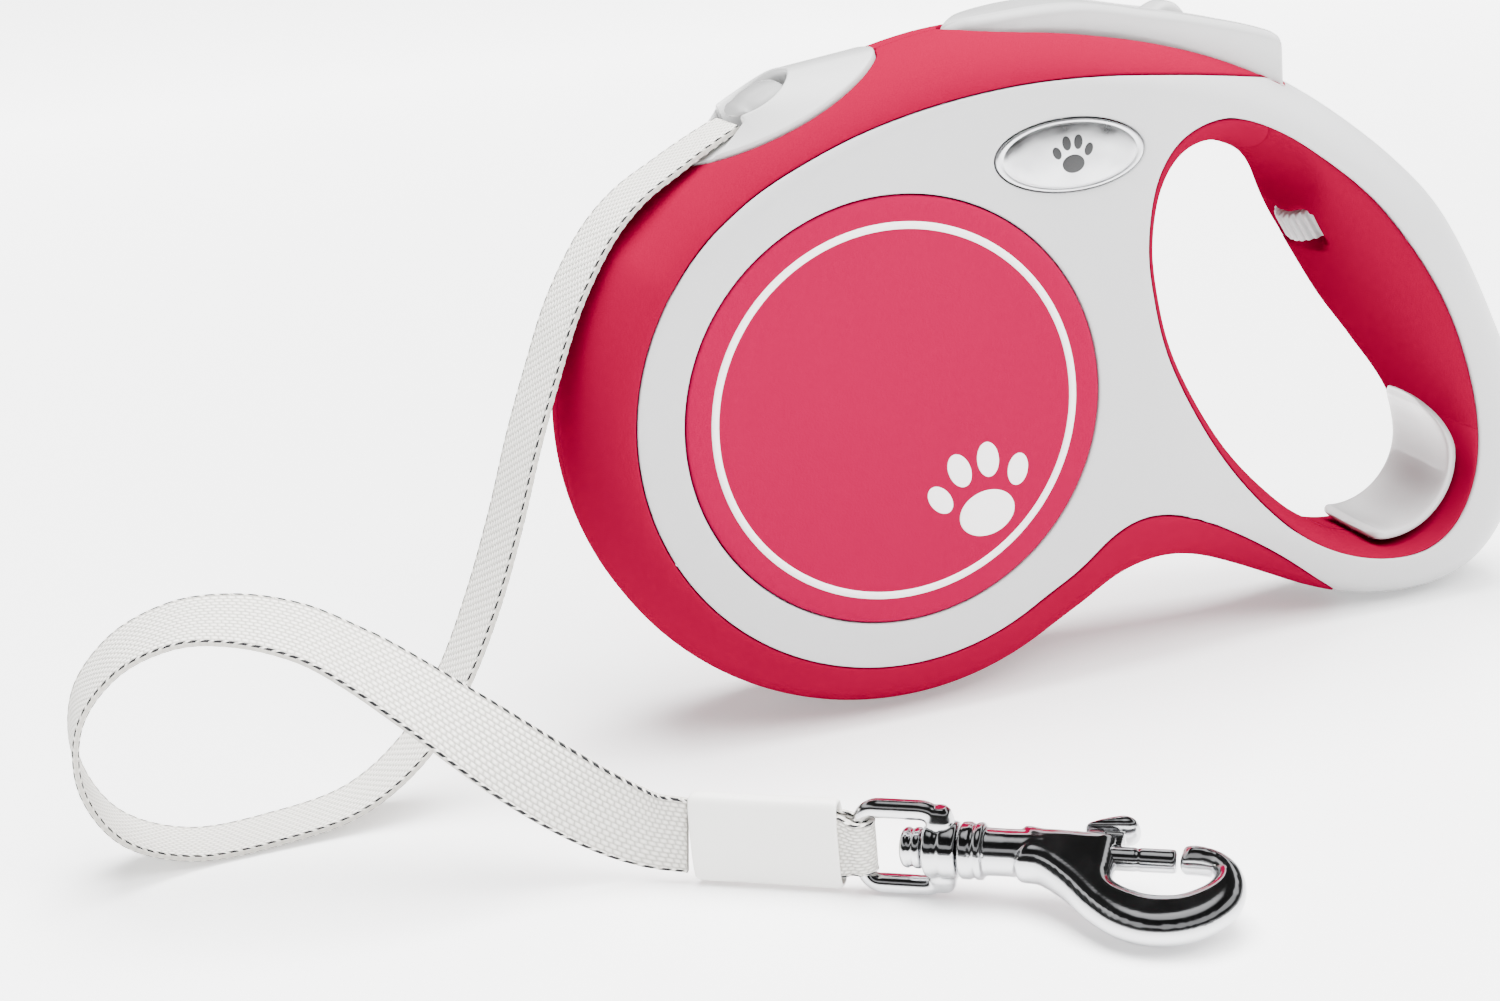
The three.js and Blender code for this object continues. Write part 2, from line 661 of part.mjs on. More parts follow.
function woundTape() {
  const half = TAPE.width / 2;
  const inner = REEL.hub + GAP;
  return turned(
    [[inner, -half], [WOUND_RADIUS, -half], [WOUND_RADIUS, half], [inner, half], [inner, -half]],
    56,
  );
}

const reelAxle = () => rod(AXLE_RADIUS, -15.2, 15.2, 0, 0, 24);

const tapeLead = () => channel(TAPE.thick / 2, TAPE.width / 2);

// ---------------------------------------------------------------- free tape
// Hand-set points of the tape's middle line, from the outlet to the sleeve, measured from the reel
// axis, each with the lean of its width: 0 lies level across the casing, 90 stands on its edge.
const TAPE_ROUTE = [
  [-23.6, 0, 125, 0], [-29.6, -0.2, 122.3, 0], [-37, -0.8, 118.6, 0], [-46.2, -2, 113.6, 0],
  [-54, -3, 106.4, 0], [-61.8, -4, 94.8, 0], [-68, -5.4, 82, 0], [-73.6, -7, 69.4, 0],
  [-79.4, -8.6, 54.6, 0], [-86.2, -10, 39.2, 0], [-94, -11.2, 25, 0], [-103.6, -12.2, 12.6, 0],
  [-117, -12.8, 4, 0], [-133, -13, 1.4, 0], [-149.4, -13.8, 2, 0], [-162.2, -16, 9.4, 2],
  [-168, -19, 22.6, 4], [-166.4, -23, 37, 6], [-158.4, -27.2, 47.6, 8], [-147.4, -31.4, 53, 12],
  [-136.4, -35.4, 53.4, 18], [-125.4, -40, 50.4, 25], [-115.8, -44.6, 44.6, 33], [-107, -49.6, 37.6, 42],
  [-98.6, -54, 30.2, 52], [-89.6, -58.6, 22.4, 63], [-79.8, -63.2, 15, 76], [-71.2, -67.2, 10.2, 86],
  [-64.3, -71.9, 9.2, 90],
];

const toPoint = ([x, y, z]) => new THREE.Vector3(x, y, z);

// A flat webbing section swept along the route, its width turned from level to upright.
class WebbingPath extends THREE.CatmullRomCurve3 {
  computeFrenetFrames(segments) {
    const frames = { tangents: [], normals: [], binormals: [] };
    for (let i = 0; i <= segments; i += 1) {
      const tangent = this.getTangentAt(i / segments);
      const place = this.getUtoTmapping(i / segments) * (TAPE_ROUTE.length - 1);
      const low = Math.min(Math.floor(place), TAPE_ROUTE.length - 2);
      const lean = THREE.MathUtils.degToRad(
        THREE.MathUtils.lerp(TAPE_ROUTE[low][3], TAPE_ROUTE[low + 1][3], place - low),
      );
      const wide = new THREE.Vector3(0, Math.cos(lean), Math.sin(lean));
      wide.addScaledVector(tangent, -wide.dot(tangent)).normalize();
      frames.tangents.push(tangent);
      frames.normals.push(wide);
      frames.binormals.push(tangent.clone().cross(wide));
    }
    return frames;
  }
}

function freeTape() {
  const half = TAPE.width / 2;
  const thick = TAPE.thick / 2;
  const section = vectors([
    [-half, -0.3], [-half + 0.5, -thick], [half - 0.5, -thick], [half, -0.3],
    [half, 0.3], [half - 0.5, thick], [-half + 0.5, thick], [-half, 0.3],
  ]);
  return new THREE.ExtrudeGeometry(shapeOf(section), {
    steps: 64,
    bevelEnabled: false,
    extrudePath: new WebbingPath(TAPE_ROUTE.map(toPoint)),
  });
}

// ---------------------------------------------------------------- sleeve, eye and hook
// These are built along +X from the collar of the hook at x = 0, with z = 0 on the swivel's axis.
const SLEEVE = { from: -50, to: -22, height: 8.6, thick: 2.4 };

function tapeSleeve() {
  const { from, to, height, thick } = SLEEVE;
  const outline = vectors([[from, -height], [to, -height], [to, height], [from, height]]);
  return rounded(outline, thick, { radial: 0.8, deep: 1.6, segments: 3 });
}

// The tape's sewn end, folded round the rod of the swivel eye.
function tapeEndLoop() {
  const rodX0 = -EYE.length;
  const outer = [
    ...arc(rodX0, 0, ROD_RADIUS + 0.35 + 1.2, -90, 90, 10),
    ...vectors([[SLEEVE.to + 0.3, 2], [SLEEVE.to + 0.3, -2]]),
  ];
  const inner = [
    ...arc(rodX0, 0, ROD_RADIUS + 0.35, -90, 90, 8),
    ...arc(rodX0, 0, ROD_RADIUS + 0.35, 90, 270, 8).slice(1, -1),
  ];
  const shape = shapeOf(outer);
  shape.holes.push(new THREE.Path(inner));
  const geometry = new THREE.ExtrudeGeometry(shape, { depth: 9.8, bevelEnabled: false });
  geometry.translate(0, 0, -4.9);
  return solidOf(geometry);
}

const EYE = { length: 18.4, boss: 5.1, bossFrom: -6.4, bossTo: -GAP };

function roundedRectangle(x0, x1, half, corner) {
  return [
    ...arc(x0 + corner, corner - half, corner, 180, 270, 5),
    ...arc(x1 - corner, corner - half, corner, 270, 360, 5),
    ...arc(x1 - corner, half - corner, corner, 0, 90, 5),
    ...arc(x0 + corner, half - corner, corner, 90, 180, 5),
  ];
}

function swivelEye() {
  const outer = roundedRectangle(-EYE.length - ROD_RADIUS, -2.2, EYE_HALF_HEIGHT, 3.4);
  const inner = roundedRectangle(-EYE.length + ROD_RADIUS, -5, EYE_HALF_HEIGHT - 2 * ROD_RADIUS, 0.9);
  const ring = rounded(outer, ROD_RADIUS, { radial: 0.8, deep: 0.8, segments: 2, holes: [inner] });
  const boss = rodX(EYE.boss, EYE.bossFrom, EYE.bossTo, 24);
  return cut(union(ring, boss), rodX(1.9, -12, 4, 20));
}

const HOOK_HALF = 3.3;
const PLUNGER = { radius: 2.1, from: 17.6, to: 37.8 };

// The casting: rivet head, stud, collar, shank and bend, with the plunger's bore and thumb slot.
function hookBody() {
  const stem = turnedX(
    [[0, -10.8], [3, -10.8], [3.7, -10], [3.7, -6.9], [1.6, -6.9], [1.6, 0], [5.1, 0], [5.1, 4.2],
      [4.2, 4.8], [4.2, 8], [4.5, 14], [4.5, 18], [0, 18]],
    24,
  );
  const bend = [
    [9, 4.4], [20, 4.5], [26.6, 4.5], [27.4, 3.6], [27.4, -6.6], [31, -8.2], [35, -9.3], [39.4, -8.8],
    [43, -6.4], [44.4, -3.4], [43, -1.8], [38.3, -1.7], [38.3, 2.5], [41.5, 2.9], [45.6, 1.6], [48.8, -1.6],
    [50.2, -6.2], [49.4, -11], [46, -15.4], [41, -18.2], [35, -19], [29, -17.4], [23.6, -13.6], [18.6, -8.8],
    [14, -5.6], [9, -4.4],
  ];
  const casting = rounded(vectors(bend), HOOK_HALF, { radial: 1.3, deep: 1.9, segments: 3 });
  const bore = rodX(PLUNGER.radius + 0.3, 5.4, 29, 20);
  const slot = box(14.6, 30, -1.7, 1.7, 0, 8);
  return cut(union(stem, casting), bore, slot);
}

function hookPlunger() {
  const pin = turnedX(
    [[0, PLUNGER.from], [PLUNGER.radius, PLUNGER.from], [PLUNGER.radius, PLUNGER.to - 0.5],
      [PLUNGER.radius - 0.5, PLUNGER.to], [0, PLUNGER.to]],
    20,
  );
  const stem = box(24.4, 28.2, -1.3, 1.3, 0, 6.4);
  const thumb = rounded(
    closedSpline(
      [[21.6, 5.5], [24, 5.2], [28.4, 5.2], [30.2, 6], [29.6, 8], [27, 8.6], [23.4, 8.2], [21.4, 6.8]],
      20,
    ),
    3.1,
    { radial: 0.7, deep: 1, segments: 2 },
  );
  return union(pin, stem, thumb);
}

// ---------------------------------------------------------------- assembly
const root = new THREE.Group();
root.position.x = -BOX_CENTRE_X;

function add(group, name, shape, material) {
  const geometry = shape.isBufferGeometry ? shape : geometryOf(shape);
  const mesh = new THREE.Mesh(geometry, material);
  mesh.name = name;
  group.add(mesh);
  return mesh;
}

const shell = nearShell();
add(root, "near_shell", shell, RED);
add(root, "far_shell", farShell(shell), RED);
for (const [piece, make, material] of [
  ["side_frame", nearFrame, GREY], ["cap", nearCap, RED], ["badge", nearBadge, SILVER],
]) {
  const near = make();
  add(root, "near_" + piece, near, material);
  add(root, "far_" + piece, mirrored(near), material);
}
SCREWS.forEach(([x, z], i) => add(root, "casing_screw_" + (i + 1), casingScrew(x, z), STEEL));

add(root, "tape_nozzle", tapeNozzle(), GLOSS_GREY);
add(root, "tape_guide", tapeGuide(), GLOSS_GREY);
add(root, "brake_button", brakeButton(), GREY);
add(root, "button_pin", rod(1.5, -12.4, 12.4, BUTTON_PIVOT.x, BUTTON_PIVOT.z, 12), STEEL);
add(root, "lock_slide", lockSlide(), GREY);
const brakeSpring = add(root, "brake_spring", coil(3, 0.4, 7.6, 4), STEEL);
brakeSpring.position.set(SPRING_SEAT.x, 0, SPRING_SEAT.z + 0.4);

add(root, "grip_bar", gripBar(), SOFT_RED);
add(root, "grip_guard", gripGuard(), GLOSS_GREY);
const wheelSeat = new THREE.Group();
wheelSeat.position.set(WHEEL.x, 0, WHEEL.z);
wheelSeat.rotation.y = -Math.atan2(GRIP_AXIS.y, GRIP_AXIS.x);
root.add(wheelSeat);
add(wheelSeat, "adjust_wheel", adjustWheel(), GREY);
add(wheelSeat, "adjust_spindle", rodX(SPINDLE.radius, SPINDLE.from, SPINDLE.to, 16), STEEL);

const drum = new THREE.Group();
drum.position.z = DISC_Z;
root.add(drum);
add(drum, "reel", reel(), BLACK);
add(drum, "spring_cover", springCover(), BLACK);
add(drum, "mainspring", mainspring(), STEEL);
add(drum, "wound_tape", woundTape(), WEBBING);
add(drum, "reel_axle", reelAxle(), STEEL);

add(root, "tape_lead", tapeLead(), WEBBING);
add(root, "free_tape", freeTape(), WEBBING);

const line = new THREE.Group();
line.position.copy(LINE_START);
line.rotation.z = THREE.MathUtils.degToRad(LINE_YAW);
root.add(line);
add(line, "tape_sleeve", tapeSleeve(), IVORY);
add(line, "tape_end_loop", tapeEndLoop(), WEBBING);
add(line, "swivel_eye", swivelEye(), CHROME);

const hook = new THREE.Group();
hook.rotation.x = THREE.MathUtils.degToRad(HOOK_ROLL);
line.add(hook);
add(hook, "hook_body", hookBody(), CHROME);
add(hook, "hook_plunger", hookPlunger(), CHROME);
const plungerSpring = add(hook, "plunger_spring", coil(1.6, 0.3, 11.4, 6), STEEL);
plungerSpring.rotation.y = Math.PI / 2;
plungerSpring.position.x = 5.8;

export default root;
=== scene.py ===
"""Looks of the retractable tape leash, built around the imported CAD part.

Lengths in this script are millimetres in the part's side view, with x measured from the reel axis, and
are turned into metres in the part's frame where a mesh is made.
"""

import math

import bpy
import numpy as np
from mathutils import Matrix, Vector
from mathutils.geometry import delaunay_2d_cdt
from mathutils.kdtree import KDTree


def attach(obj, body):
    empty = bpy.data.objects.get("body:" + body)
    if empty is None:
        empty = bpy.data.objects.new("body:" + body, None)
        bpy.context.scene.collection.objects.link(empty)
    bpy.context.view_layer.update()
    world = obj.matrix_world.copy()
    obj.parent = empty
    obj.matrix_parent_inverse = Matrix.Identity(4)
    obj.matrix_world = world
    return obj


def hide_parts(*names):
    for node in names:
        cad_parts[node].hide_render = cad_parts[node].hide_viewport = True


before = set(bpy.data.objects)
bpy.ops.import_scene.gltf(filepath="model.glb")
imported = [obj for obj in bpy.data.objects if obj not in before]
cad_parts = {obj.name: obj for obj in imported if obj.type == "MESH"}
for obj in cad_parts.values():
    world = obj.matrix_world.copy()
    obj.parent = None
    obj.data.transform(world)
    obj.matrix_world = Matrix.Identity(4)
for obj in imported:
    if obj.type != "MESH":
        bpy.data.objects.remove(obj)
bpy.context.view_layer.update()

MM = 0.001
SHIFT_X = -43.3
DISC_Z = 66.0
SEAM = 0.15

# ------------------------------------------------------------------ camera


def look_camera():
    """The camera that took the view: focal length 60 mm, rolled a little to the right."""
    right = Vector((0.95082, -0.2964, -0.08995))
    down = Vector((-0.17183, -0.26312, -0.94934))
    forward = Vector((0.25772, 0.9181, -0.30111))
    data = bpy.data.cameras.new("camera")
    data.lens = 60
    data.sensor_width = 36
    data.clip_start = 0.01
    camera = bpy.data.objects.new("camera", data)
    basis = Matrix((right, -down, -forward)).transposed()
    place = Vector((-160.381 + SHIFT_X, -477.125, 203.133)) * MM
    camera.matrix_world = Matrix.Translation(place) @ basis.to_4x4()
    bpy.context.scene.collection.objects.link(camera)
    bpy.context.scene.camera = camera


look_camera()

# ------------------------------------------------------------------ materials


def material(name, color, roughness, metallic=0.0, **sockets):
    mat = bpy.data.materials.new(name)
    mat.use_nodes = True
    bsdf = mat.node_tree.nodes["Principled BSDF"]
    bsdf.inputs["Base Color"].default_value = (*color, 1)
    bsdf.inputs["Roughness"].default_value = roughness
    bsdf.inputs["Metallic"].default_value = metallic
    for key, value in sockets.items():
        bsdf.inputs[key.replace("_", " ")].default_value = value
    return mat


def node(mat, kind, place=(0, 0), **values):
    made = mat.node_tree.nodes.new(kind)
    made.location = place
    for key, value in values.items():
        if key in made.inputs:
            made.inputs[key].default_value = value
        else:
            setattr(made, key, value)
    return made


def link(mat, a, out, b, into):
    mat.node_tree.links.new(a.outputs[out], b.inputs[into])


def maths(mat, operation, a, b=None, clamp=False):
    """A Math node fed by numbers or by (node, output) pairs."""
    made = mat.node_tree.nodes.new("ShaderNodeMath")
    made.operation = operation
    made.use_clamp = clamp
    for i, value in enumerate((a, b)):
        if value is None:
            continue
        if isinstance(value, tuple):
            mat.node_tree.links.new(value[0].outputs[value[1]], made.inputs[i])
        else:
            made.inputs[i].default_value = value
    return (made, "Value")


def object_coords(mat):
    return node(mat, "ShaderNodeTexCoord"), "Object"


def add_bump(mat, source, strength, distance):
    bump = node(mat, "ShaderNodeBump", Strength=strength, Distance=distance)
    mat.node_tree.links.new(source[0].outputs[source[1]], bump.inputs["Height"])
    bsdf = mat.node_tree.nodes["Principled BSDF"]
    before = bsdf.inputs["Normal"].links
    if before:
        mat.node_tree.links.new(before[0].from_socket, bump.inputs["Normal"])
    link(mat, bump, "Normal", bsdf, "Normal")


def noise(mat, scale, detail=2.0, roughness=0.5):
    coords, out = object_coords(mat)
    made = node(mat, "ShaderNodeTexNoise", Scale=scale, Detail=detail, Roughness=roughness)
    link(mat, coords, out, made, "Vector")
    return made, "Fac"


def remap(mat, source, low, high, from_low=0.0, from_high=1.0):
    made = node(mat, "ShaderNodeMapRange")
    mat.node_tree.links.new(source[0].outputs[source[1]], made.inputs["Value"])
    for key, value in (("From Min", from_low), ("From Max", from_high), ("To Min", low), ("To Max", high)):
        made.inputs[key].default_value = value
    return made, "Result"


def feed(mat, source, socket):
    bsdf = mat.node_tree.nodes["Principled BSDF"]
    mat.node_tree.links.new(source[0].outputs[source[1]], bsdf.inputs[socket])


def tinted(mat, source, color_a, color_b):
    """Base colour mixed between two colours by a factor."""
    mix = node(mat, "ShaderNodeMix", data_type="RGBA")
    mat.node_tree.links.new(source[0].outputs[source[1]], mix.inputs["Factor"])
    mix.inputs[6].default_value = (*color_a, 1)
    mix.inputs[7].default_value = (*color_b, 1)
    bsdf = mat.node_tree.nodes["Principled BSDF"]
    mat.node_tree.links.new(mix.outputs[2], bsdf.inputs["Base Color"])
    return mix


def moulded(name, color, roughness, grain, depth, shade=0.93, coat=0.0, gloss=0.5):
    """Moulded plastic: fine spark-erosion grain, slight wear in the gloss, a faint change of tone."""
    mat = material(name, color, roughness, Coat_Weight=coat, Coat_Roughness=0.12, Specular_IOR_Level=gloss)
    add_bump(mat, noise(mat, grain, 3, 0.6), depth, 0.0002)
    wear = noise(mat, 60, 4, 0.6)
    feed(mat, remap(mat, wear, roughness * 0.88, roughness * 1.15, 0.3, 0.7), "Roughness")
    tone = noise(mat, 18, 2)
    tinted(mat, tone, tuple(c * shade for c in color), color)
    return mat


# The view transform is AgX, so these base colours are deeper than the tones they show under the studio light.
RED = moulded("red plastic", (0.19, 0.0001, 0.02), 0.42, 2600, 0.22, gloss=0.0)
CAP_RED = moulded("red cap", (0.25, 0.0004, 0.033), 0.4, 2400, 0.3, gloss=0.0)
LINER_RED = moulded("liner red", (0.18, 0.0001, 0.019), 0.34, 2400, 0.15, gloss=0.0)
GRIP_RED = moulded("red grip", (0.165, 0.0001, 0.017), 0.55, 3200, 0.35, gloss=0.0)
GREY = moulded("grey plastic", (0.44, 0.44, 0.445), 0.36, 2200, 0.12, shade=0.97)
GLOSS = moulded("gloss grey", (0.5, 0.5, 0.5), 0.14, 700, 0.02, shade=0.99, coat=0.4)
BUTTON_GREY = moulded("button grey", (0.42, 0.42, 0.42), 0.24, 1600, 0.06, shade=0.98, coat=0.25)
IVORY = moulded("ivory sleeve", (0.84, 0.83, 0.8), 0.32, 1500, 0.1, shade=0.97, coat=0.15)
WHITE_PRINT = moulded("white print", (0.84, 0.82, 0.82), 0.4, 2400, 0.12, shade=0.98)
TONGUE_GREY = moulded("tongue grey", (0.31, 0.31, 0.31), 0.2, 900, 0.03, shade=0.97, coat=0.4)
BLACK = moulded("black plastic", (0.012, 0.012, 0.013), 0.5, 2600, 0.25)


def metal(name, color, roughness, streaks, depth):
    mat = material(name, color, roughness, 1.0)
    scratches = noise(mat, streaks, 5, 0.7)
    add_bump(mat, scratches, depth, 0.0001)
    feed(mat, remap(mat, noise(mat, 140, 3), roughness * 0.7, roughness * 1.6, 0.3, 0.7), "Roughness")
    return mat


CHROME = metal("chrome", (0.58, 0.585, 0.6), 0.1, 420, 0.12)
STEEL = metal("steel", (0.55, 0.56, 0.58), 0.3, 1800, 0.2)
SILVER = metal("silver badge", (0.66, 0.665, 0.68), 0.38, 900, 0.03)


def webbing_material():
    """Woven tape: UV u runs from 0 to 1 across the width and v counts millimetres along it."""
    mat = material("webbing", (0.7, 0.69, 0.66), 0.85, Sheen_Weight=0.2, Specular_IOR_Level=0.2)
    uv = node(mat, "ShaderNodeUVMap", uv_map="weave")
    split = node(mat, "ShaderNodeSeparateXYZ")
    link(mat, uv, "UV", split, "Vector")
    across = maths(mat, "MULTIPLY", (split, "X"), 15.0)
    along = maths(mat, "ADD", (split, "Y"), maths(mat, "MULTIPLY", across, 0.28))
    # Grains of thread in rows along the tape, each row shifted by half a grain.
    row = maths(mat, "MULTIPLY", across, 1 / 0.94)
    odd = maths(mat, "MULTIPLY", maths(mat, "FLOOR", row), 0.5)
    place = maths(mat, "ADD", maths(mat, "MULTIPLY", along, 1 / 1.5), odd)
    length = maths(mat, "ABSOLUTE", maths(mat, "SINE", maths(mat, "MULTIPLY", place, math.pi)))
    width = maths(mat, "ABSOLUTE", maths(mat, "SINE", maths(mat, "MULTIPLY", row, math.pi)))
    fuzz = noise(mat, 2600, 3, 0.7)
    grain = maths(mat, "POWER", maths(mat, "MULTIPLY", length, width), 0.6)
    relief = maths(mat, "ADD", grain, maths(mat, "MULTIPLY", fuzz, 0.25))
    add_bump(mat, relief, 0.8, 0.00045)
    # A dashed black thread runs just inside each edge.
    side = maths(mat, "ABSOLUTE", maths(mat, "SUBTRACT", across, 7.5))
    thread = maths(mat, "LESS_THAN", maths(mat, "ABSOLUTE", maths(mat, "SUBTRACT", side, 7.13)), 0.28)
    slant = maths(mat, "ADD", (split, "Y"), maths(mat, "MULTIPLY", side, 1.6))
    dash = maths(mat, "GREATER_THAN", maths(mat, "FRACT", maths(mat, "MULTIPLY", slant, 1 / 2.5)), 0.36)
    black = maths(mat, "MULTIPLY", thread, dash)
    # The bump gives the weave's relief. The colour is darker in the gaps between the grains and paler on
    # their tops, which is painted shade in the gaps.
    weave = node(mat, "ShaderNodeMix", data_type="RGBA")
    mat.node_tree.links.new(grain[0].outputs[0], weave.inputs["Factor"])
    weave.inputs[6].default_value = (0.42, 0.4, 0.36, 1)
    weave.inputs[7].default_value = (0.88, 0.86, 0.81, 1)
    trim = node(mat, "ShaderNodeMix", data_type="RGBA")
    mat.node_tree.links.new(black[0].outputs[0], trim.inputs["Factor"])
    mat.node_tree.links.new(weave.outputs[2], trim.inputs[6])
    trim.inputs[7].default_value = (0.012, 0.012, 0.013, 1)
    bsdf = mat.node_tree.nodes["Principled BSDF"]
    mat.node_tree.links.new(trim.outputs[2], bsdf.inputs["Base Color"])
    return mat


WEBBING = webbing_material()

# ------------------------------------------------------------------ curves


def catmull(points, step, closed=False):
    """Points every step millimetres along a smooth curve through the given ones."""
    p = np.array(points, float)
    if closed:
        ring = np.vstack([p[-1], p, p[0], p[1]])
    else:
        ring = np.vstack([2 * p[0] - p[1], p, 2 * p[-1] - p[-2]])
    t = np.linspace(0, 1, 24, endpoint=False)[:, None]
    pieces = []
    for a, b, c, d in zip(ring, ring[1:], ring[2:], ring[3:]):
        pieces.append(
            0.5 * (2 * b + (c - a) * t + (2 * a - 5 * b + 4 * c - d) * t**2 + (3 * b - a - 3 * c + d) * t**3)
        )
    fine = np.vstack(pieces + [ring[1:2] if closed else p[-1:]])
    return even(fine, step, closed)


def even(line, step, closed=False):
    """The same line with evenly spaced points; a closed one doesn't repeat its first point."""
    gaps = np.linalg.norm(np.diff(line[:, :3], axis=0), axis=1)
    at = np.concatenate([[0], np.cumsum(gaps)])
    count = max(3, int(round(at[-1] / step)))
    want = np.linspace(0, at[-1], count + 1)
    made = np.stack([np.interp(want, at, line[:, k]) for k in range(line.shape[1])], 1)
    return made[:-1] if closed else made


def smoothed(ring, rounds):
    for _ in range(rounds):
        ring = 0.25 * np.roll(ring, 1, 0) + 0.5 * ring + 0.25 * np.roll(ring, -1, 0)
    return ring


def outward(ring):
    """Unit normals that point out of a ring that runs counter-clockwise."""
    along = np.roll(ring, -1, 0) - np.roll(ring, 1, 0)
    out = np.stack([along[:, 1], -along[:, 0]], 1)
    return out / np.linalg.norm(out, axis=1, keepdims=True)


def arc(x, z, radius, start, end, steps):
    a = np.radians(np.linspace(start, end, steps + 1))
    return np.stack([x + radius * np.cos(a), z + radius * np.sin(a)], 1)


def ellipse(x, z, a, b, turn=0.0, steps=96):
    t = np.linspace(0, 2 * np.pi, steps, endpoint=False)
    u, v = a * np.cos(t), b * np.sin(t)
    c, s = math.cos(turn), math.sin(turn)
    return np.stack([x + u * c - v * s, z + u * s + v * c], 1)


# ------------------------------------------------------------------ mesh making


def tree_of(points):
    tree = KDTree(len(points))
    for i, p in enumerate(points):
        tree.insert((p[0], p[1], 0), i)
    tree.balance()
    return tree


def to_frame(points):
    p = np.asarray(points, float) * MM
    p[:, 0] += SHIFT_X * MM
    return p


def make(name, points, faces, mat, body="casing", smooth=True, replaces=(), slot=None):
    mesh = bpy.data.meshes.new(name)
    mesh.from_pydata([tuple(p) for p in to_frame(points)], [], [tuple(int(i) for i in f) for f in faces])
    mesh.validate()
    mesh.update()
    mesh.materials.append(mat)
    mesh.shade_smooth() if smooth else mesh.shade_flat()
    obj = bpy.data.objects.new(name, mesh)
    bpy.context.scene.collection.objects.link(obj)
    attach(obj, body)
    if replaces:
        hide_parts(*replaces)
    return obj


def mirrored(points, faces):
    return np.asarray(points) * [1, -1, 1], [tuple(reversed(f)) for f in faces]


def strip(rows, closed=True):
    """Quads between rows of equal length; each row is a list of points."""
    n = len(rows[0])
    faces = []
    last = n if closed else n - 1
    for r in range(len(rows) - 1):
        for i in range(last):
            a, b = r * n + i, r * n + (i + 1) % n
            faces.append((a, b, b + n, a + n))
    return np.vstack(rows), faces


def inside_ring(points, ring):
    x, z = points[:, 0][:, None], points[:, 1][:, None]
    a, b = ring[None, :, :], np.roll(ring, -1, 0)[None, :, :]
    crosses = (a[..., 1] > z) != (b[..., 1] > z)
    span = b[..., 1] - a[..., 1]
    at = a[..., 0] + (z - a[..., 1]) * (b[..., 0] - a[..., 0]) / np.where(span == 0, 1e-9, span)
    return ((crosses & (x < at)).sum(1) % 2) == 1


def signed_area(ring):
    nxt = np.roll(ring, -1, 0)
    return 0.5 * (ring[:, 0] * nxt[:, 1] - nxt[:, 0] * ring[:, 1]).sum()


def filled(outer, holes, spacing, insets=()):
    """Triangles that fill a flat region, with inner points on an even grid and on given inset rings."""
    rings = [outer, *holes]
    low, high = outer.min(0), outer.max(0)
    xs = np.arange(low[0], high[0], spacing)
    zs = np.arange(low[1], high[1], spacing * 0.866)
    grid = np.array([[x + (k % 2) * spacing / 2, z] for k, z in enumerate(zs) for x in xs])
    keep = inside_ring(grid, outer)
    for hole in holes:
        keep &= ~inside_ring(grid, hole)
    grid = grid[keep]
    border = np.vstack(rings)
    tree = tree_of(np.vstack([border, *insets]))
    clear = np.array([tree.find((p[0], p[1], 0))[2] for p in grid]) > 0.6 * spacing
    points = np.vstack([border, *insets, grid[clear]])
    edges, start = [], 0
    for ring in rings:
        n = len(ring)
        edges += [(start + i, start + (i + 1) % n) for i in range(n)]
        start += n
    made = delaunay_2d_cdt([Vector(p) for p in points], edges, [], 0, 1e-7)
    verts, faces = np.array([tuple(v) for v in made[0]]), np.array(made[2])
    centre = verts[faces].mean(1)
    keep = inside_ring(centre, outer)
    for hole in holes:
        keep &= ~inside_ring(centre, hole)
    return verts, faces[keep]


def skin(outer, holes=(), rise=0.0, round_off=0.5, wall=1.6, spacing=1.6, steps=3):
    """A plate of the casing's skin: a filled region lifted on to the form, with rounded edges and a wall."""
    rings = [outer if signed_area(outer) > 0 else outer[::-1]]
    rings += [h if signed_area(h) < 0 else h[::-1] for h in holes]
    inner = [r - outward(r) * round_off for r in rings]
    flat, faces = filled(inner[0], inner[1:], spacing)
    points, polygons = [lift(flat, rise)], [tuple(f) for f in faces]
    count = len(flat)
    for ring, shrunk in zip(rings, inner):
        rows = [lift(shrunk, rise)]
        for k in range(1, steps + 1):
            a = k / steps * math.pi / 2
            inset = round_off * (1 - math.sin(a))
            rows.append(lift(ring - outward(ring) * inset, rise - round_off * (1 - math.cos(a))))
        rows.append(lift(ring, rise - wall))
        row_points, row_faces = strip(rows)
        points.append(row_points)
        polygons += [tuple(i + count for i in reversed(f)) for f in row_faces]
        count += len(row_points)
    return welded(np.vstack(points), polygons)


def welded(points, polygons, near=1e-4):
    key = np.round(points / near).astype(np.int64)
    _, first, back = np.unique(key, axis=0, return_index=True, return_inverse=True)
    back = back.reshape(-1)
    faces = []
    for f in polygons:
        g = [back[i] for i in f]
        g = [a for a, b in zip(g, g[1:] + g[:1]) if a != b]
        if len(set(g)) >= 3:
            faces.append(tuple(g))
    return points[first], faces


def two_sided(name, shape, mat, replaces, slot, body="casing"):
    """The near piece and its mirror image on the far side."""
    made = []
    for side, (points, faces) in (("near_", shape), ("far_", mirrored(*shape))):
        nodes = [side + r for r in replaces]
        made.append(make(side + name, points, faces, mat, body, replaces=nodes, slot=slot))
    return made


# ------------------------------------------------------------------ general forms


def capped(rows):
    """A closed skin: quads between closed rows, and a fan over the first and the last."""
    points, faces = strip(rows)
    n = len(rows[0])
    first, last = len(points), len(points) + 1
    points = np.vstack([points, rows[0].mean(0), rows[-1].mean(0)])
    base = (len(rows) - 1) * n
    for i in range(n):
        faces.append(((i + 1) % n, i, first))
        faces.append((base + i, base + (i + 1) % n, last))
    return points, faces


def joined(*shapes):
    points, faces, count = [], [], 0
    for shape_points, shape_faces in shapes:
        points.append(np.asarray(shape_points, float))
        faces += [tuple(i + count for i in f) for f in shape_faces]
        count += len(shape_points)
    return np.vstack(points), faces


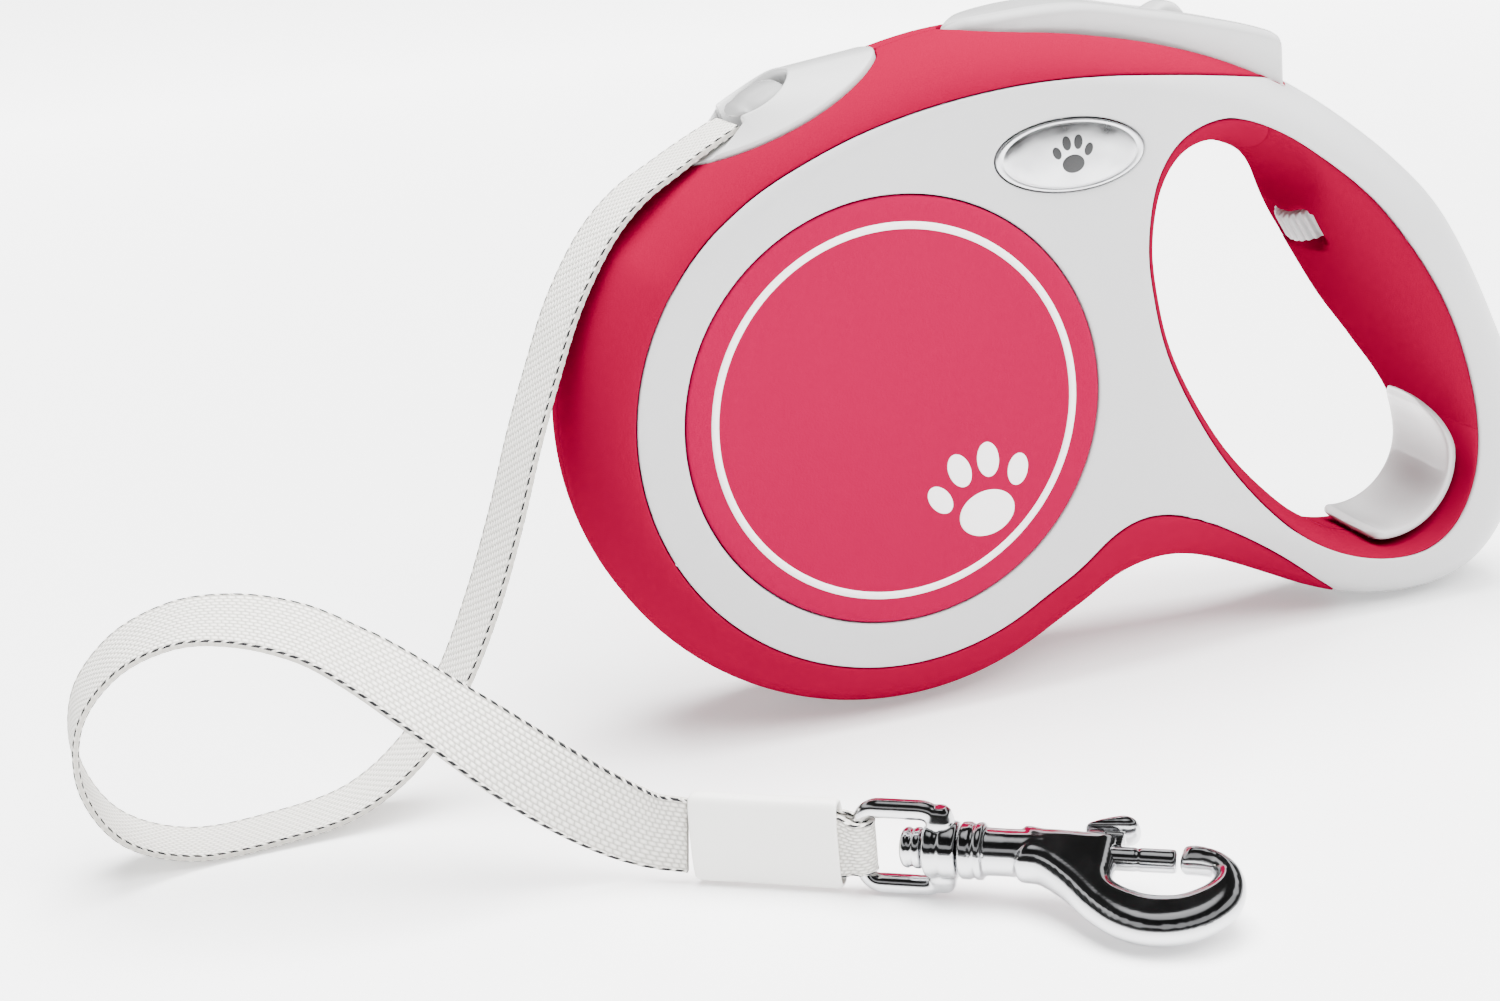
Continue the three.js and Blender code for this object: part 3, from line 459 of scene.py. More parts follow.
def superellipse(a, b, power, steps):
    """A closed section with half sizes a and b; a high power makes it boxy."""
    t = np.linspace(0, 2 * np.pi, steps, endpoint=False)
    c, s = np.cos(t), np.sin(t)
    return np.stack([a * np.sign(c) * np.abs(c) ** (2 / power), b * np.sign(s) * np.abs(s) ** (2 / power)], 1)


def lathe(profile, steps=64):
    """A body of revolution about X from [x, radius] pairs."""
    t = np.linspace(0, 2 * np.pi, steps, endpoint=False)
    rows = [np.stack([np.full(steps, x), r * np.cos(t), r * np.sin(t)], 1) for x, r in profile]
    return capped(rows)


def oriented(points, faces):
    """The same closed skin with its faces pointing out."""
    p = np.asarray(points)
    volume = 0.0
    for f in faces:
        for k in range(1, len(f) - 1):
            volume += np.dot(p[f[0]], np.cross(p[f[k]], p[f[k + 1]]))
    return (points, faces) if volume > 0 else (points, [tuple(reversed(f)) for f in faces])


# ------------------------------------------------------------------ free tape
# Points of the tape's middle line, each with two angles of its width in degrees: the lean is 0
# where it lies level across the casing and 90 where it stands on its edge, and the turn brings the near
# edge towards the handle.
TAPE_ROUTE = [
    [-23.6, 0, 125, 0, 0], [-29.6, -0.2, 122.3, 0, 3], [-37, -0.8, 118.6, 0, 6], [-46.2, -2, 113.6, 0, 9],
    [-54, -3, 106.4, 0, 11], [-61.8, -4, 94.8, 0, 12], [-68, -5.4, 82, 0, 12], [-73.6, -7, 69.4, 0, 12],
    [-79.4, -8.6, 54.6, 0, 12], [-86.2, -10, 39.2, 0, 12], [-94, -11.2, 25, 0, 10],
    [-103.6, -12.2, 12.6, 0, 7], [-117, -12.8, 4, 0, 3], [-133, -13, 1.4, 0, 0], [-149.4, -13.8, 2, 0, 0],
    [-162.2, -16, 9.4, 2, 0], [-168, -19, 22.6, 4, 0], [-166.4, -23, 37, 6, 0], [-158.4, -27.2, 47.6, 8, 0],
    [-147.4, -31.4, 53, 12, 0], [-136.4, -35.4, 53.4, 18, 0], [-125.4, -40, 50.4, 25, 0],
    [-115.8, -44.6, 44.6, 33, 0], [-107, -49.6, 37.6, 42, 0], [-98.6, -54, 30.2, 52, 0],
    [-89.6, -58.6, 22.4, 63, 0], [-79.8, -63.2, 15, 76, 0], [-71.2, -67.2, 10.2, 86, 0],
    [-64.3, -71.9, 9.2, 90, 0],
]
TAPE_HALF_WIDTH = 7.5
# Half of the webbing's section: share of the half width, and height over the middle plane.
WEB_SECTION = np.array(
    [[1.0, 0.0], [0.996, 0.3], [0.98, 0.54], [0.955, 0.65], [0.92, 0.62],
     [0.89, 0.5], [0.84, 0.52], [0.55, 0.55], [0.28, 0.56], [0.0, 0.56]]
)


def web_section():
    """The webbing's closed section: a flat middle with a rounded cord along each edge."""
    top = np.vstack([WEB_SECTION, WEB_SECTION[-2::-1] * [-1, 1]])
    return np.vstack([top, top[-2:0:-1] * [1, -1]])


def webbing_strip(line, wide, half_widths, thickness=1.0):
    """Rows of a strip along a line; wide holds the direction of its width at each point."""
    along = np.gradient(line, axis=0)
    along /= np.linalg.norm(along, axis=1, keepdims=True)
    wide = wide - along * (wide * along).sum(1, keepdims=True)
    wide /= np.linalg.norm(wide, axis=1, keepdims=True)
    normal = np.cross(along, wide)
    section = web_section()
    rows = []
    for at, w, n, half in zip(line, wide, normal, half_widths):
        rows.append(at + section[:, :1] * half * w + section[:, 1:] * thickness * n)
    return rows


def weave_uv(obj, rows, step):
    """u runs from 0 to 1 across the full 15 mm width, and v counts millimetres along."""
    n = len(rows[0])
    section = web_section()
    layer = obj.data.uv_layers.new(name="weave")
    for loop in obj.data.loops:
        row, column = divmod(loop.vertex_index, n)
        if row < len(rows):
            u = 0.5 + 0.5 * section[column][0]
            layer.data[loop.index].uv = (u, row * step)


def free_tape(step=0.8):
    route = catmull(TAPE_ROUTE, step)
    lean, turn = np.radians(route[:, 3]), np.radians(route[:, 4])
    wide = np.stack([-np.sin(turn), np.cos(turn) * np.cos(lean), np.sin(lean)], 1)
    halves = np.full(len(route), TAPE_HALF_WIDTH)
    rows = webbing_strip(route[:, :3], wide, halves)
    obj = make("tape_webbing", *oriented(*capped(rows)), WEBBING, replaces=["free_tape"], slot="webbing")
    weave_uv(obj, rows, step)
    return obj, route[:, :3]


TAPE, TAPE_LINE = free_tape()

# ------------------------------------------------------------------ sleeve, eye and hook
# These are built along +X from the collar of the hook at x = 0, and then placed on the line that the
# CAD part lays them on.
LINE_START = np.array([-22.3, -101.0, 9.2])
LINE_YAW = math.radians(-35)
HOOK_ROLL = math.radians(-72)


def on_line(points, roll=0.0):
    turn = Matrix.Rotation(LINE_YAW, 3, "Z") @ Matrix.Rotation(roll, 3, "X")
    return np.asarray(points, float) @ np.array(turn).T + LINE_START


def tape_sleeve():
    """A flat moulded sleeve, open at both ends, with the sewn end of the tape in it."""
    outer, hole = superellipse(8.6, 2.4, 3.6, 72), superellipse(7.95, 1.25, 6, 72)
    rows = []

    def row(x, section, share):
        rows.append(np.stack([np.full(72, x), section[:, 1] * share, section[:, 0] * share], 1))

    ends = ((-0.1, 0.9), (0.0, 0.955), (0.35, 0.985), (0.9, 1.0))
    row(-46, hole, 1)
    row(-49.6, hole, 1)
    for inset, share in ends:
        row(-50 + inset + 0.1, outer, share)
    for x in np.linspace(-47, -25, 12):
        row(x, outer, 1 - 0.012 * math.sin((x + 47) / 22 * math.pi))
    for inset, share in reversed(ends):
        row(-22 - inset - 0.1, outer, share)
    row(-22.4, hole, 1)
    row(-26, hole, 1)
    points, faces = oriented(*capped(rows))
    placed = on_line(points)
    return make("sleeve_moulding", placed, faces, IVORY, replaces=["tape_sleeve"], slot="ivory_sleeve")


EYE_ROD_X, ROD_RADIUS = -18.4, 1.4


def sewn_loop(step=0.35):
    """The narrowed end of the tape, folded round the rod of the eye."""
    bend = arc(EYE_ROD_X, 0, ROD_RADIUS + 0.85, 96, -96, 16)
    path = catmull(np.vstack([[[-23.4, 0.95], [-21.4, 1.35]], bend, [[-21.4, -1.35], [-23.4, -0.95]]]), step)
    line = np.stack([path[:, 0], path[:, 1], np.zeros(len(path))], 1)
    wide = np.tile([0.0, 0.0, 1.0], (len(path), 1))
    halves = np.interp(path[:, 0], [-23.4, -21.2, -19.4, -16], [6.3, 5.9, 5.1, 4.9])
    rows = webbing_strip(line, wide, halves)
    points, faces = oriented(*capped(rows))
    obj = make("sewn_end", on_line(points), faces, WEBBING, replaces=["tape_end_loop"], slot="webbing")
    weave_uv(obj, rows, step)
    return obj


def tube(path, radii, sides=28):
    """A round rod along a flat closed path in the plane y = 0, with a radius for each point."""
    along = np.roll(path, -1, 0) - np.roll(path, 1, 0)
    along /= np.linalg.norm(along, axis=1, keepdims=True)
    out = np.stack([along[:, 1], -along[:, 0]], 1)
    t = np.linspace(0, 2 * np.pi, sides, endpoint=False)
    rows = []
    for p, o, radius in zip(path, out, radii):
        xz = p + o * (radius * np.cos(t))[:, None]
        rows.append(np.stack([xz[:, 0], radius * np.sin(t), xz[:, 1]], 1))
    return strip(rows + rows[:1])


def rounded_rectangle(x0, x1, half, corner):
    corners = ((x0, -half, 180), (x1, -half, 270), (x1, half, 0), (x0, half, 90))
    arcs = []
    for x, z, start in corners:
        cx = x + corner if x == x0 else x - corner
        cz = z - math.copysign(corner, z)
        arcs.append(arc(cx, cz, corner, start, start + 90, 12))
    return np.vstack(arcs)


def swivel_eye():
    ring = rounded_rectangle(EYE_ROD_X, -3.7, 7.3, 3.4)
    ring = even(np.vstack([ring, ring[:1]]), 0.5, True)
    radii = np.interp(ring[:, 0], [EYE_ROD_X, EYE_ROD_X + 3.4], [ROD_RADIUS, 1.85])
    rod = oriented(*welded(*tube(ring, radii)))
    boss = oriented(*lathe([
        [-6.4, 2.0], [-6.4, 4.5], [-6.25, 4.9], [-5.9, 5.1], [-4.6, 5.1], [-4.3, 4.85], [-3.6, 4.8],
        [-3.3, 5.1], [-0.9, 5.1], [-0.5, 4.9], [-0.35, 4.5], [-0.35, 2.0],
    ]))
    column = []
    for z, long, wide in (
        (-8.2, 1.2, 1.2), (-7.4, 2.0, 1.8), (-5.6, 2.5, 2.4),
        (5.6, 2.5, 2.4), (7.4, 2.0, 1.8), (8.2, 1.2, 1.2),
    ):
        section = superellipse(long, wide, 3, 40)
        column.append(np.stack([section[:, 0] - 3.6, section[:, 1], np.full(40, z)], 1))
    yoke = oriented(*capped(column))
    points, faces = joined(rod, boss, yoke)
    obj = make("eye_casting", on_line(points), faces, CHROME, replaces=["swivel_eye"], slot="chrome")
    return melted(obj, 0.24, 6)


def box_form(xs, ys, zs):
    """A plain block between two limits along each axis."""
    points = np.array([[x, y, z] for x in xs for y in ys for z in zs], float)
    return points, [(0, 1, 3, 2), (4, 6, 7, 5), (0, 4, 5, 1), (2, 3, 7, 6), (0, 2, 6, 4), (1, 5, 7, 3)]


def melted(obj, voxel, rounds):
    """Joins a piece's overlapping solids into one skin and softens its edges, like a casting."""
    remesh = obj.modifiers.new("remesh", "REMESH")
    remesh.mode = "VOXEL"
    remesh.voxel_size = voxel * MM
    smooth = obj.modifiers.new("smooth", "SMOOTH")
    smooth.factor = 0.5
    smooth.iterations = rounds
    return frozen(obj)


def frozen(obj):
    """Applies a piece's modifiers to its mesh."""
    depsgraph = bpy.context.evaluated_depsgraph_get()
    mesh = bpy.data.meshes.new_from_object(obj.evaluated_get(depsgraph))
    old, name = obj.data, obj.data.name
    obj.modifiers.clear()
    obj.data = mesh
    bpy.data.meshes.remove(old)
    mesh.name = name
    mesh.shade_smooth()
    return obj


def inflated(ring, half, reach, spacing):
    """A flat outline swollen to both sides: full thickness at a distance of reach from its edge."""
    ring = ring if signed_area(ring) > 0 else ring[::-1]
    insets = [ring - outward(ring) * d for d in (0.08, 0.3, 0.7)]
    flat, faces = filled(ring, [], spacing, insets)
    tree = tree_of(even(np.vstack([ring, ring[:1]]), 0.12, True))
    distance = np.array([tree.find((p[0], p[1], 0))[2] for p in flat])
    distance[: len(ring)] = 0
    rise = np.sqrt(1 - (1 - np.clip(distance / reach, 0, 1)) ** 2)
    y = rise * np.array([half(x) for x in flat[:, 0]])
    near = np.stack([flat[:, 0], -y, flat[:, 1]], 1)
    far = near * [1, -1, 1]
    polygons = [tuple(f) for f in faces] + [tuple(i + len(near) for i in reversed(f)) for f in faces]
    return oriented(*welded(np.vstack([near, far]), polygons))


HOOK_OUTLINE = [
    [10, 4.3], [15, 4.45], [20, 4.5], [25.6, 4.5], [27.1, 4.2], [27.5, 3.2], [27.5, 0], [27.5, -3],
    [27.6, -5], [28.4, -6.7], [31, -8.2], [35, -9.3], [39.4, -8.8], [43, -6.4], [44.4, -3.9],
    [43.6, -2.3], [41.4, -1.8],
    [39, -1.8], [38.3, -1.2], [38.3, 1.9], [39, 2.6], [41.5, 2.9], [45.6, 1.6], [48.8, -1.6], [50.2, -6.2],
    [49.4, -11], [46, -15.4], [41, -18.2], [35, -19], [29, -17.4], [23.6, -13.6], [18.6, -8.8], [14, -5.6],
    [10, -4.4],
]


def hook_casting():
    ring = smoothed(catmull(HOOK_OUTLINE, 0.4, True), 2)
    bend = inflated(ring, lambda x: np.interp(x, [10, 17, 26, 34, 52], [4.3, 4.2, 3.6, 3.35, 3.35]), 3.5, 0.7)
    stem = oriented(*lathe([
        [-10.8, 2.8], [-10.6, 3.2], [-10.1, 3.6], [-9.4, 3.7], [-9.2, 3.35], [-8.5, 3.35], [-8.3, 3.7],
        [-7.3, 3.7], [-6.95, 3.4], [-6.9, 1.7], [0.0, 1.7], [0.0, 4.7], [0.3, 5.1], [1.9, 5.1],
        [2.2, 4.75], [2.7, 4.75],
        [3.0, 5.1], [3.9, 5.1], [4.25, 4.8], [4.4, 4.25], [8, 4.2], [12, 4.3], [15, 4.3], [15.5, 3.8],
    ]))
    points, faces = joined(bend, stem)
    placed = on_line(points, HOOK_ROLL)
    obj = make("hook_casting", placed, faces, CHROME, "hook", replaces=["hook_body"], slot="chrome")
    melted(obj, 0.24, 6)
    carve(obj, oriented(*lathe([[5.6, 2.4], [33, 2.4]], 40)))
    carve(obj, oriented(*box_form((14.4, 33), (-1.75, 1.75), (0.5, 9))))
    return obj


def carve(obj, tool_shape):
    """Cuts a bore or a slot out of a piece of the hook."""
    points, faces = tool_shape
    mesh = bpy.data.meshes.new("tool")
    mesh.from_pydata([tuple(p) for p in to_frame(on_line(points, HOOK_ROLL))], [], faces)
    tool = bpy.data.objects.new("tool", mesh)
    bpy.context.scene.collection.objects.link(tool)
    cut = obj.modifiers.new("cut", "BOOLEAN")
    cut.operation, cut.object, cut.solver = "DIFFERENCE", tool, "EXACT"
    frozen(obj)
    bpy.data.objects.remove(tool)


def hook_bolt():
    rod = lathe([
        [17.6, 1.6], [17.9, 2.1], [30.6, 2.1], [30.8, 1.95], [31.3, 1.95], [31.5, 2.1], [37.1, 2.1],
        [37.5, 1.95], [37.75, 1.6],
    ])
    stem = box_form((24.6, 28.0), (-1.3, 1.3), (0.0, 6.6))
    knob_ring = catmull(
        [[21.2, 5.4], [23.4, 5.0], [26, 4.95], [28.6, 5.0], [30.3, 5.8], [30.6, 7.2], [29.6, 8.4],
         [27.4, 8.7], [25, 8.2], [23, 7.6], [21.4, 7.0], [20.8, 6.2]], 0.3, True,
    )
    knob = inflated(
        smoothed(knob_ring, 3), lambda x: np.interp(x, [20.8, 24, 28, 31], [2.3, 2.9, 3.2, 2.6]), 1.5, 0.5
    )
    points, faces = joined(oriented(*rod), oriented(*stem), knob)
    placed = on_line(points, HOOK_ROLL)
    obj = make("bolt_and_knob", placed, faces, CHROME, "plunger", replaces=["hook_plunger"], slot="chrome")
    return melted(obj, 0.2, 5)


SLEEVE, SEWN_END, EYE, HOOK, BOLT = tape_sleeve(), sewn_loop(), swivel_eye(), hook_casting(), hook_bolt()
tuple(to_frame(TAPE_LINE[:1])[0])
[tuple(p) for p in to_frame(TAPE_LINE[::3])]

# ------------------------------------------------------------------ the casing's form
# The disc's arc, the web below it, the handle, and the long top edge back to the disc.
TOP_AND_HANDLE = [
    [43, 13.6], [50, 17.6], [57, 19.6], [64, 19.7], [72, 17.8], [81, 14], [90, 9.6], [100, 4.8], [111, 1.2],
    [124, 0], [136, 2.4], [145, 9.6], [150, 20], [151.6, 35], [149.2, 51], [144.2, 64.5], [138, 78],
    [131, 89.6], [121.5, 99.8], [111, 108.8], [100, 116.8], [88, 123.8], [74, 129.8], [58, 134.6],
    [41, 137.8], [24, 138.4], [8, 135.9], [-8, 130.8], [-24, 123.9], [-39, 115],
]
OUTLINE = np.vstack([arc(1, DISC_Z, 66, 144, 301, 60), catmull(TOP_AND_HANDLE, 1.0)])
OUTLINE = smoothed(even(np.vstack([OUTLINE, OUTLINE[:1]]), 0.8, True), 14)
RADIAL = 12.5  # how far the rim's rounding reaches inwards
BAND = 26.0  # length of the rim's section from the seam to the flat face
FLAT = 0.09  # the share of that section that is flat, next to the seam
FLAT_HALF = 2.3


NORMAL = smoothed(outward(OUTLINE), 6)
NORMAL /= np.linalg.norm(NORMAL, axis=1, keepdims=True)
# The rim unrolled into the plane of the face: every ring of the casing's skin is drawn in that plane.
UNROLLED = OUTLINE + NORMAL * (BAND - RADIAL)


UNROLLED_TREE, OUTLINE_TREE = tree_of(UNROLLED), tree_of(OUTLINE)


def nearest(points, ring, tree):
    """For each point: the place on the ring as an index with a fraction, and its distance inside it."""
    near = np.array([tree.find((p[0], p[1], 0))[1] for p in points])
    n = len(ring)
    best = np.full(len(points), 1e9)
    place = np.zeros(len(points))
    for step in (-1, 0):
        i = (near + step) % n
        a, b = ring[i], ring[(i + 1) % n]
        t = np.clip(((points - a) * (b - a)).sum(1) / ((b - a) ** 2).sum(1), 0, 1)
        distance = np.linalg.norm(points - a - (b - a) * t[:, None], axis=1)
        better = distance < best
        best = np.where(better, distance, best)
        place = np.where(better, i + t, place)
    foot, normal = along_ring(ring, place), along_ring(NORMAL, place)
    inside = -((points - foot) * normal).sum(1)
    return place, inside


def along_ring(values, place):
    i = np.floor(place).astype(int) % len(values)
    t = (place - np.floor(place))[:, None]
    return values[i] * (1 - t) + values[(i + 1) % len(values)] * t


def ease(t):
    t = np.clip(t, 0, 1)
    return t * t * (3 - 2 * t)


def half_thickness(x):
    """The disc is 42 mm thick and the handle 34 mm, with a slope between them."""
    return 21 - 4 * ease((x - 56) / 30)


def lift(flat_points, rise=0.0):
    """Points of the unrolled skin as points of the near side of the casing, raised along the normal."""
    q = np.asarray(flat_points, float)
    place, inside = nearest(q, UNROLLED, UNROLLED_TREE)
    share = np.clip(inside / BAND, 0, 1)
    angle = np.clip((share - FLAT) / (1 - FLAT), 0, 1) * np.pi / 2
    foot, out = along_ring(OUTLINE, place), along_ring(NORMAL, place)
    on_rim = (inside < BAND)[:, None]
    xz = np.where(on_rim, foot - out * (RADIAL * (1 - np.cos(angle)))[:, None], q)
    half = half_thickness(xz[:, 0])
    deep = half - FLAT_HALF
    depth = np.where(share < FLAT, FLAT_HALF * share / FLAT, FLAT_HALF + deep * np.sin(angle))
    normal = np.stack(
        [out[:, 0] * np.cos(angle) / RADIAL, -np.sin(angle) / deep, out[:, 1] * np.cos(angle) / RADIAL], 1
    )
    normal = np.where(on_rim, normal, np.array([[0, -1.0, 0]]))
    normal /= np.linalg.norm(normal, axis=1, keepdims=True)
    return np.stack([xz[:, 0], -depth, xz[:, 1]], 1) + normal * np.reshape(rise, (-1, 1))


def unroll(points, to_seam=()):
    """Points of the side view moved outwards to where they lie on the unrolled rim."""
    p = np.asarray(points, float)
    place, inside = nearest(p, OUTLINE, OUTLINE_TREE)
    out = along_ring(NORMAL, place)
    angle = np.arccos(np.clip(1 - inside / RADIAL, 0, 1))
    share = FLAT + (1 - FLAT) * angle / (np.pi / 2)
    moved = along_ring(OUTLINE, place) + out * (BAND - RADIAL - share * BAND)[:, None]
    made = np.where((inside < RADIAL)[:, None], moved, p)
    for i in to_seam:
        made[i] = along_ring(UNROLLED, place[i : i + 1])[0]
    return made


# ------------------------------------------------------------------ rings of the side view
HOLE_EDGE = catmull(
    [
        [76, 115], [66, 112.6], [60, 106], [57.2, 96], [57, 84], [61, 65.5], [73, 43], [89.5, 23.6],
        [104, 14.4], [119.5, 12], [130, 17], [135.6, 30], [134.6, 48], [127, 70], [112.5, 91.5], [97, 105.5],
        [86, 112.4],
    ],
    0.9,
    True,
)
HOLE_EDGE = smoothed(HOLE_EDGE, 8)
LINER_CREST = catmull(
    [
        [86, 106], [78, 108.4], [70, 107.2], [64.5, 102.6], [61.3, 95], [60.6, 85], [64.4, 67], [76, 45.6],
        [91.5, 27.6], [104, 18], [112, 14.6], [119.5, 13.8], [127.8, 18.2], [134, 30], [130, 46], [122, 65],
        [108, 86], [96, 100],
    ],
    0.9,
    True,
)
LINER_CREST = smoothed(LINER_CREST, 8)


def frame_edge():
    """Where the grey side frame ends, as one line in the unrolled plane from the handle's foot to its top."""
    lower = catmull(
        [[108, 1.3], [97, 9.8], [88, 17], [78, 24], [68, 30], [60, 33.4], [53, 34], [46, 31.4],
         [38, 25.4], [30, 21]],
        0.9,
    )
    ring = arc(0, DISC_Z, 54, 302, 124, 190)
    upper = catmull(
        [[-26, 113.5], [-18, 117.4], [-4, 122.6], [12, 126.2], [30, 128], [48, 127.6], [66, 125.4],
         [84, 122.2], [92, 120.4], [97.2, 118.6]],
        0.9,
    )
    line = np.vstack([lower, ring[4:-4], upper])
    line = unroll(line, to_seam=(0, len(line) - 1))
    line = even(line, 0.9)
    for _ in range(10):
        line[1:-1] = 0.25 * line[:-2] + 0.5 * line[1:-1] + 0.25 * line[2:]
    return line


FRAME_EDGE = frame_edge()
PART_GAP = 0.28


def between_seams(line, keep_disc_side):
    """Closes a line across the casing with the stretch of the seam on one side of it."""
    places, _ = nearest(line[[0, -1]], UNROLLED, UNROLLED_TREE)
    n = len(UNROLLED)
    start, end = int(round(places[1])), int(round(places[0]))
    forward = [(start + k) % n for k in range(1, (end - start) % n)]
    backward = [(start - k) % n for k in range(1, (start - end) % n)]
    disc_is_forward = UNROLLED[forward].mean(0)[0] < UNROLLED[backward].mean(0)[0]
    chosen = forward if disc_is_forward == keep_disc_side else backward
    return np.vstack([line, even(UNROLLED[chosen], 0.9)])


def parted(ring, gap):
    """A closed ring drawn in by a small gap, counter-clockwise."""
    ring = ring if signed_area(ring) > 0 else ring[::-1]
    return ring - outward(ring) * gap


def top_edge_notch(ring, from_place, depths):
    """Draws a ring's stretch along the seam inwards, to leave room for a piece that stands in the seam.

    from_place is a place on the outline, and depths gives the depth at each distance from it towards +x.
    """
    places, inside = nearest(ring, UNROLLED, UNROLLED_TREE)
    n = len(UNROLLED)
    along = ((from_place - places + n / 2) % n - n / 2) * OUTLINE_STEP
    depth = np.interp(along, depths[0], depths[1], left=0, right=0)
    depth = np.where(inside < 0.6, depth, 0)
    moved = ring - along_ring(NORMAL, places) * depth[:, None]
    return even(np.vstack([moved, moved[:1]]), 0.8, True)


OUTLINE_STEP = np.linalg.norm(OUTLINE[1] - OUTLINE[0])


def place_on_top(x):
    """The place on the outline where the top edge passes x."""
    top = [i for i in range(len(OUTLINE)) if OUTLINE[i][1] > 105]
    best = min(top, key=lambda i: abs(OUTLINE[i][0] - x))
    return float(best)


NOZZLE_PLACE = place_on_top(-13.8)
NOZZLE_ALONG, NOZZLE_ACROSS = 22.3, 13.0
BUTTON_PLACE = place_on_top(22.6)


def oval_depths(a, b, steps=60):
    t = np.linspace(-1, 1, steps + 1)
    return a * t, b * np.sqrt(1 - t * t)


def button_half(x):
    """Half the button's width, seen from above."""
    plan = np.array(
        [[22.6, 0.0], [23.4, 2.6], [27, 5.9], [31, 7.6], [36, 8.7], [43, 9.3], [50, 9.6], [97, 9.6]]
    )
    return np.interp(x, plan[:, 0], plan[:, 1])


def button_depths():
    along = np.linspace(-0.6, 80, 160)
    xs = np.interp(along, top_lengths - top_lengths[0], top_xs)
    depth = button_half(xs + 0.5) + 0.6
    depth[xs > 94.9] = 0
    return along, depth


CAP_HOLE = ellipse(0, DISC_Z, 44 + PART_GAP, 44 + PART_GAP, steps=280)
BADGE_PLACE = (40.4, 112.8)
BADGE_TURN = math.radians(-2.3)
BADGE_HOLE = ellipse(*BADGE_PLACE, 16.3, 7.5, BADGE_TURN)

top_run = [OUTLINE[int(BUTTON_PLACE - k) % len(OUTLINE)] for k in range(130)]
top_xs = np.array([q[0] for q in top_run])
top_lengths = np.concatenate([[0], np.cumsum(np.linalg.norm(np.diff(top_run, axis=0), axis=1))])

rim_region = parted(between_seams(FRAME_EDGE, True), PART_GAP / 2)
rim_region = top_edge_notch(rim_region, NOZZLE_PLACE, oval_depths(NOZZLE_ALONG + 0.3, NOZZLE_ACROSS + 0.3))
rim_region = top_edge_notch(rim_region, BUTTON_PLACE, button_depths())
two_sided("shell_rim", skin(rim_region, round_off=0.4), RED, ["shell"], "red_plastic")
frame_region = parted(between_seams(FRAME_EDGE, False), PART_GAP / 2)
two_sided(
    "frame_skin",
    skin(frame_region, [CAP_HOLE, HOLE_EDGE, BADGE_HOLE], round_off=0.55, wall=2.2),
    GREY, ["side_frame"], "grey_plastic",
)
two_sided(
    "cap_skin", skin(ellipse(0, DISC_Z, 44, 44, steps=280), round_off=0.6, wall=2.0),
    CAP_RED, ["cap"], "red_plastic",
)


# ------------------------------------------------------------------ hand hole: liner and grip
CREST = catmull(
    [
        [86, 106], [78, 108.4], [70, 107.2], [64.5, 102.6], [61.3, 95], [60.6, 85], [64.4, 67], [76, 45.6],
        [91.5, 27.6], [104, 18], [112, 14.6], [119.5, 13.8], [127.8, 18.2], [133, 28], [130.4, 37.6],
        [124, 48.6], [117.6, 57.6], [109.4, 68.6], [101.8, 82.2], [98.6, 89.6], [96.8, 96.6], [93.4, 101.4],
    ],
    0.5,
    True,
)
CREST = smoothed(CREST, 4)
HOLE_CENTRE = np.array([88.0, 62.0])
WHEEL_AT = np.array([107.4, 90.2])
WHEEL_RADIUS, WHEEL_HALF = 9.5, 3.5
GRIP_AXIS = np.array([0.479, -0.878]) / math.hypot(0.479, 0.878)
GRIP_OUT = np.array([-GRIP_AXIS[1], GRIP_AXIS[0]])


def direction_of(ring):
    d = ring - HOLE_CENTRE
    return np.arctan2(d[:, 1], d[:, 0])


def crest_of(edge):
    """The crest's point in the same direction from the middle of the hole as each point of its edge."""
    wanted, known = direction_of(edge), direction_of(CREST)
    return np.stack([np.interp(wanted, known, CREST[:, k], period=2 * np.pi) for k in (0, 1)], 1)


def wall_rows(edge, power, steps, recess=0.5):
    """Rows of the rounded wall from the near face to the crest in the middle plane."""
    crest = crest_of(edge)
    half = half_thickness(edge[:, 0]) - recess
    rows = []
    for k in range(steps + 1):
        a = k / steps * math.pi / 2
        reach, depth = math.sin(a) ** (2 / power), max(math.cos(a), 0.0) ** (2 / power)
        xz = edge + (crest - edge) * np.reshape(reach, (-1, 1))
        rows.append(np.stack([xz[:, 0], -half * depth, xz[:, 1]], 1))
    return rows


def hole_stretches():
    """The hole's edge, drawn in by the gap, split into the grip's stretch and the rest."""
    edge = even(np.vstack([HOLE_EDGE, HOLE_EDGE[:1]]), 0.45, True)
    edge = parted(edge, 0.25)
    bay = (edge[:, 0] > 86.4) & (edge[:, 1] > 37.8)
    first = next(i for i in range(len(edge)) if bay[i] and not bay[i - 1])
    edge, bay = np.roll(edge, -first, 0), np.roll(bay, -first)
    grip = edge[bay]
    return grip, np.vstack([grip[-1:], edge[~bay], grip[:1]])


GRIP_EDGE, LINER_EDGE = hole_stretches()


def shell_liner():
    rows = wall_rows(LINER_EDGE, 2.0, 18)
    back = rows[0] + [0, 1.6, 0]
    middle = rows[-1].copy()
    middle[:, 1] = -SEAM
    rows[-1] = middle
    return strip([back] + rows, closed=False)


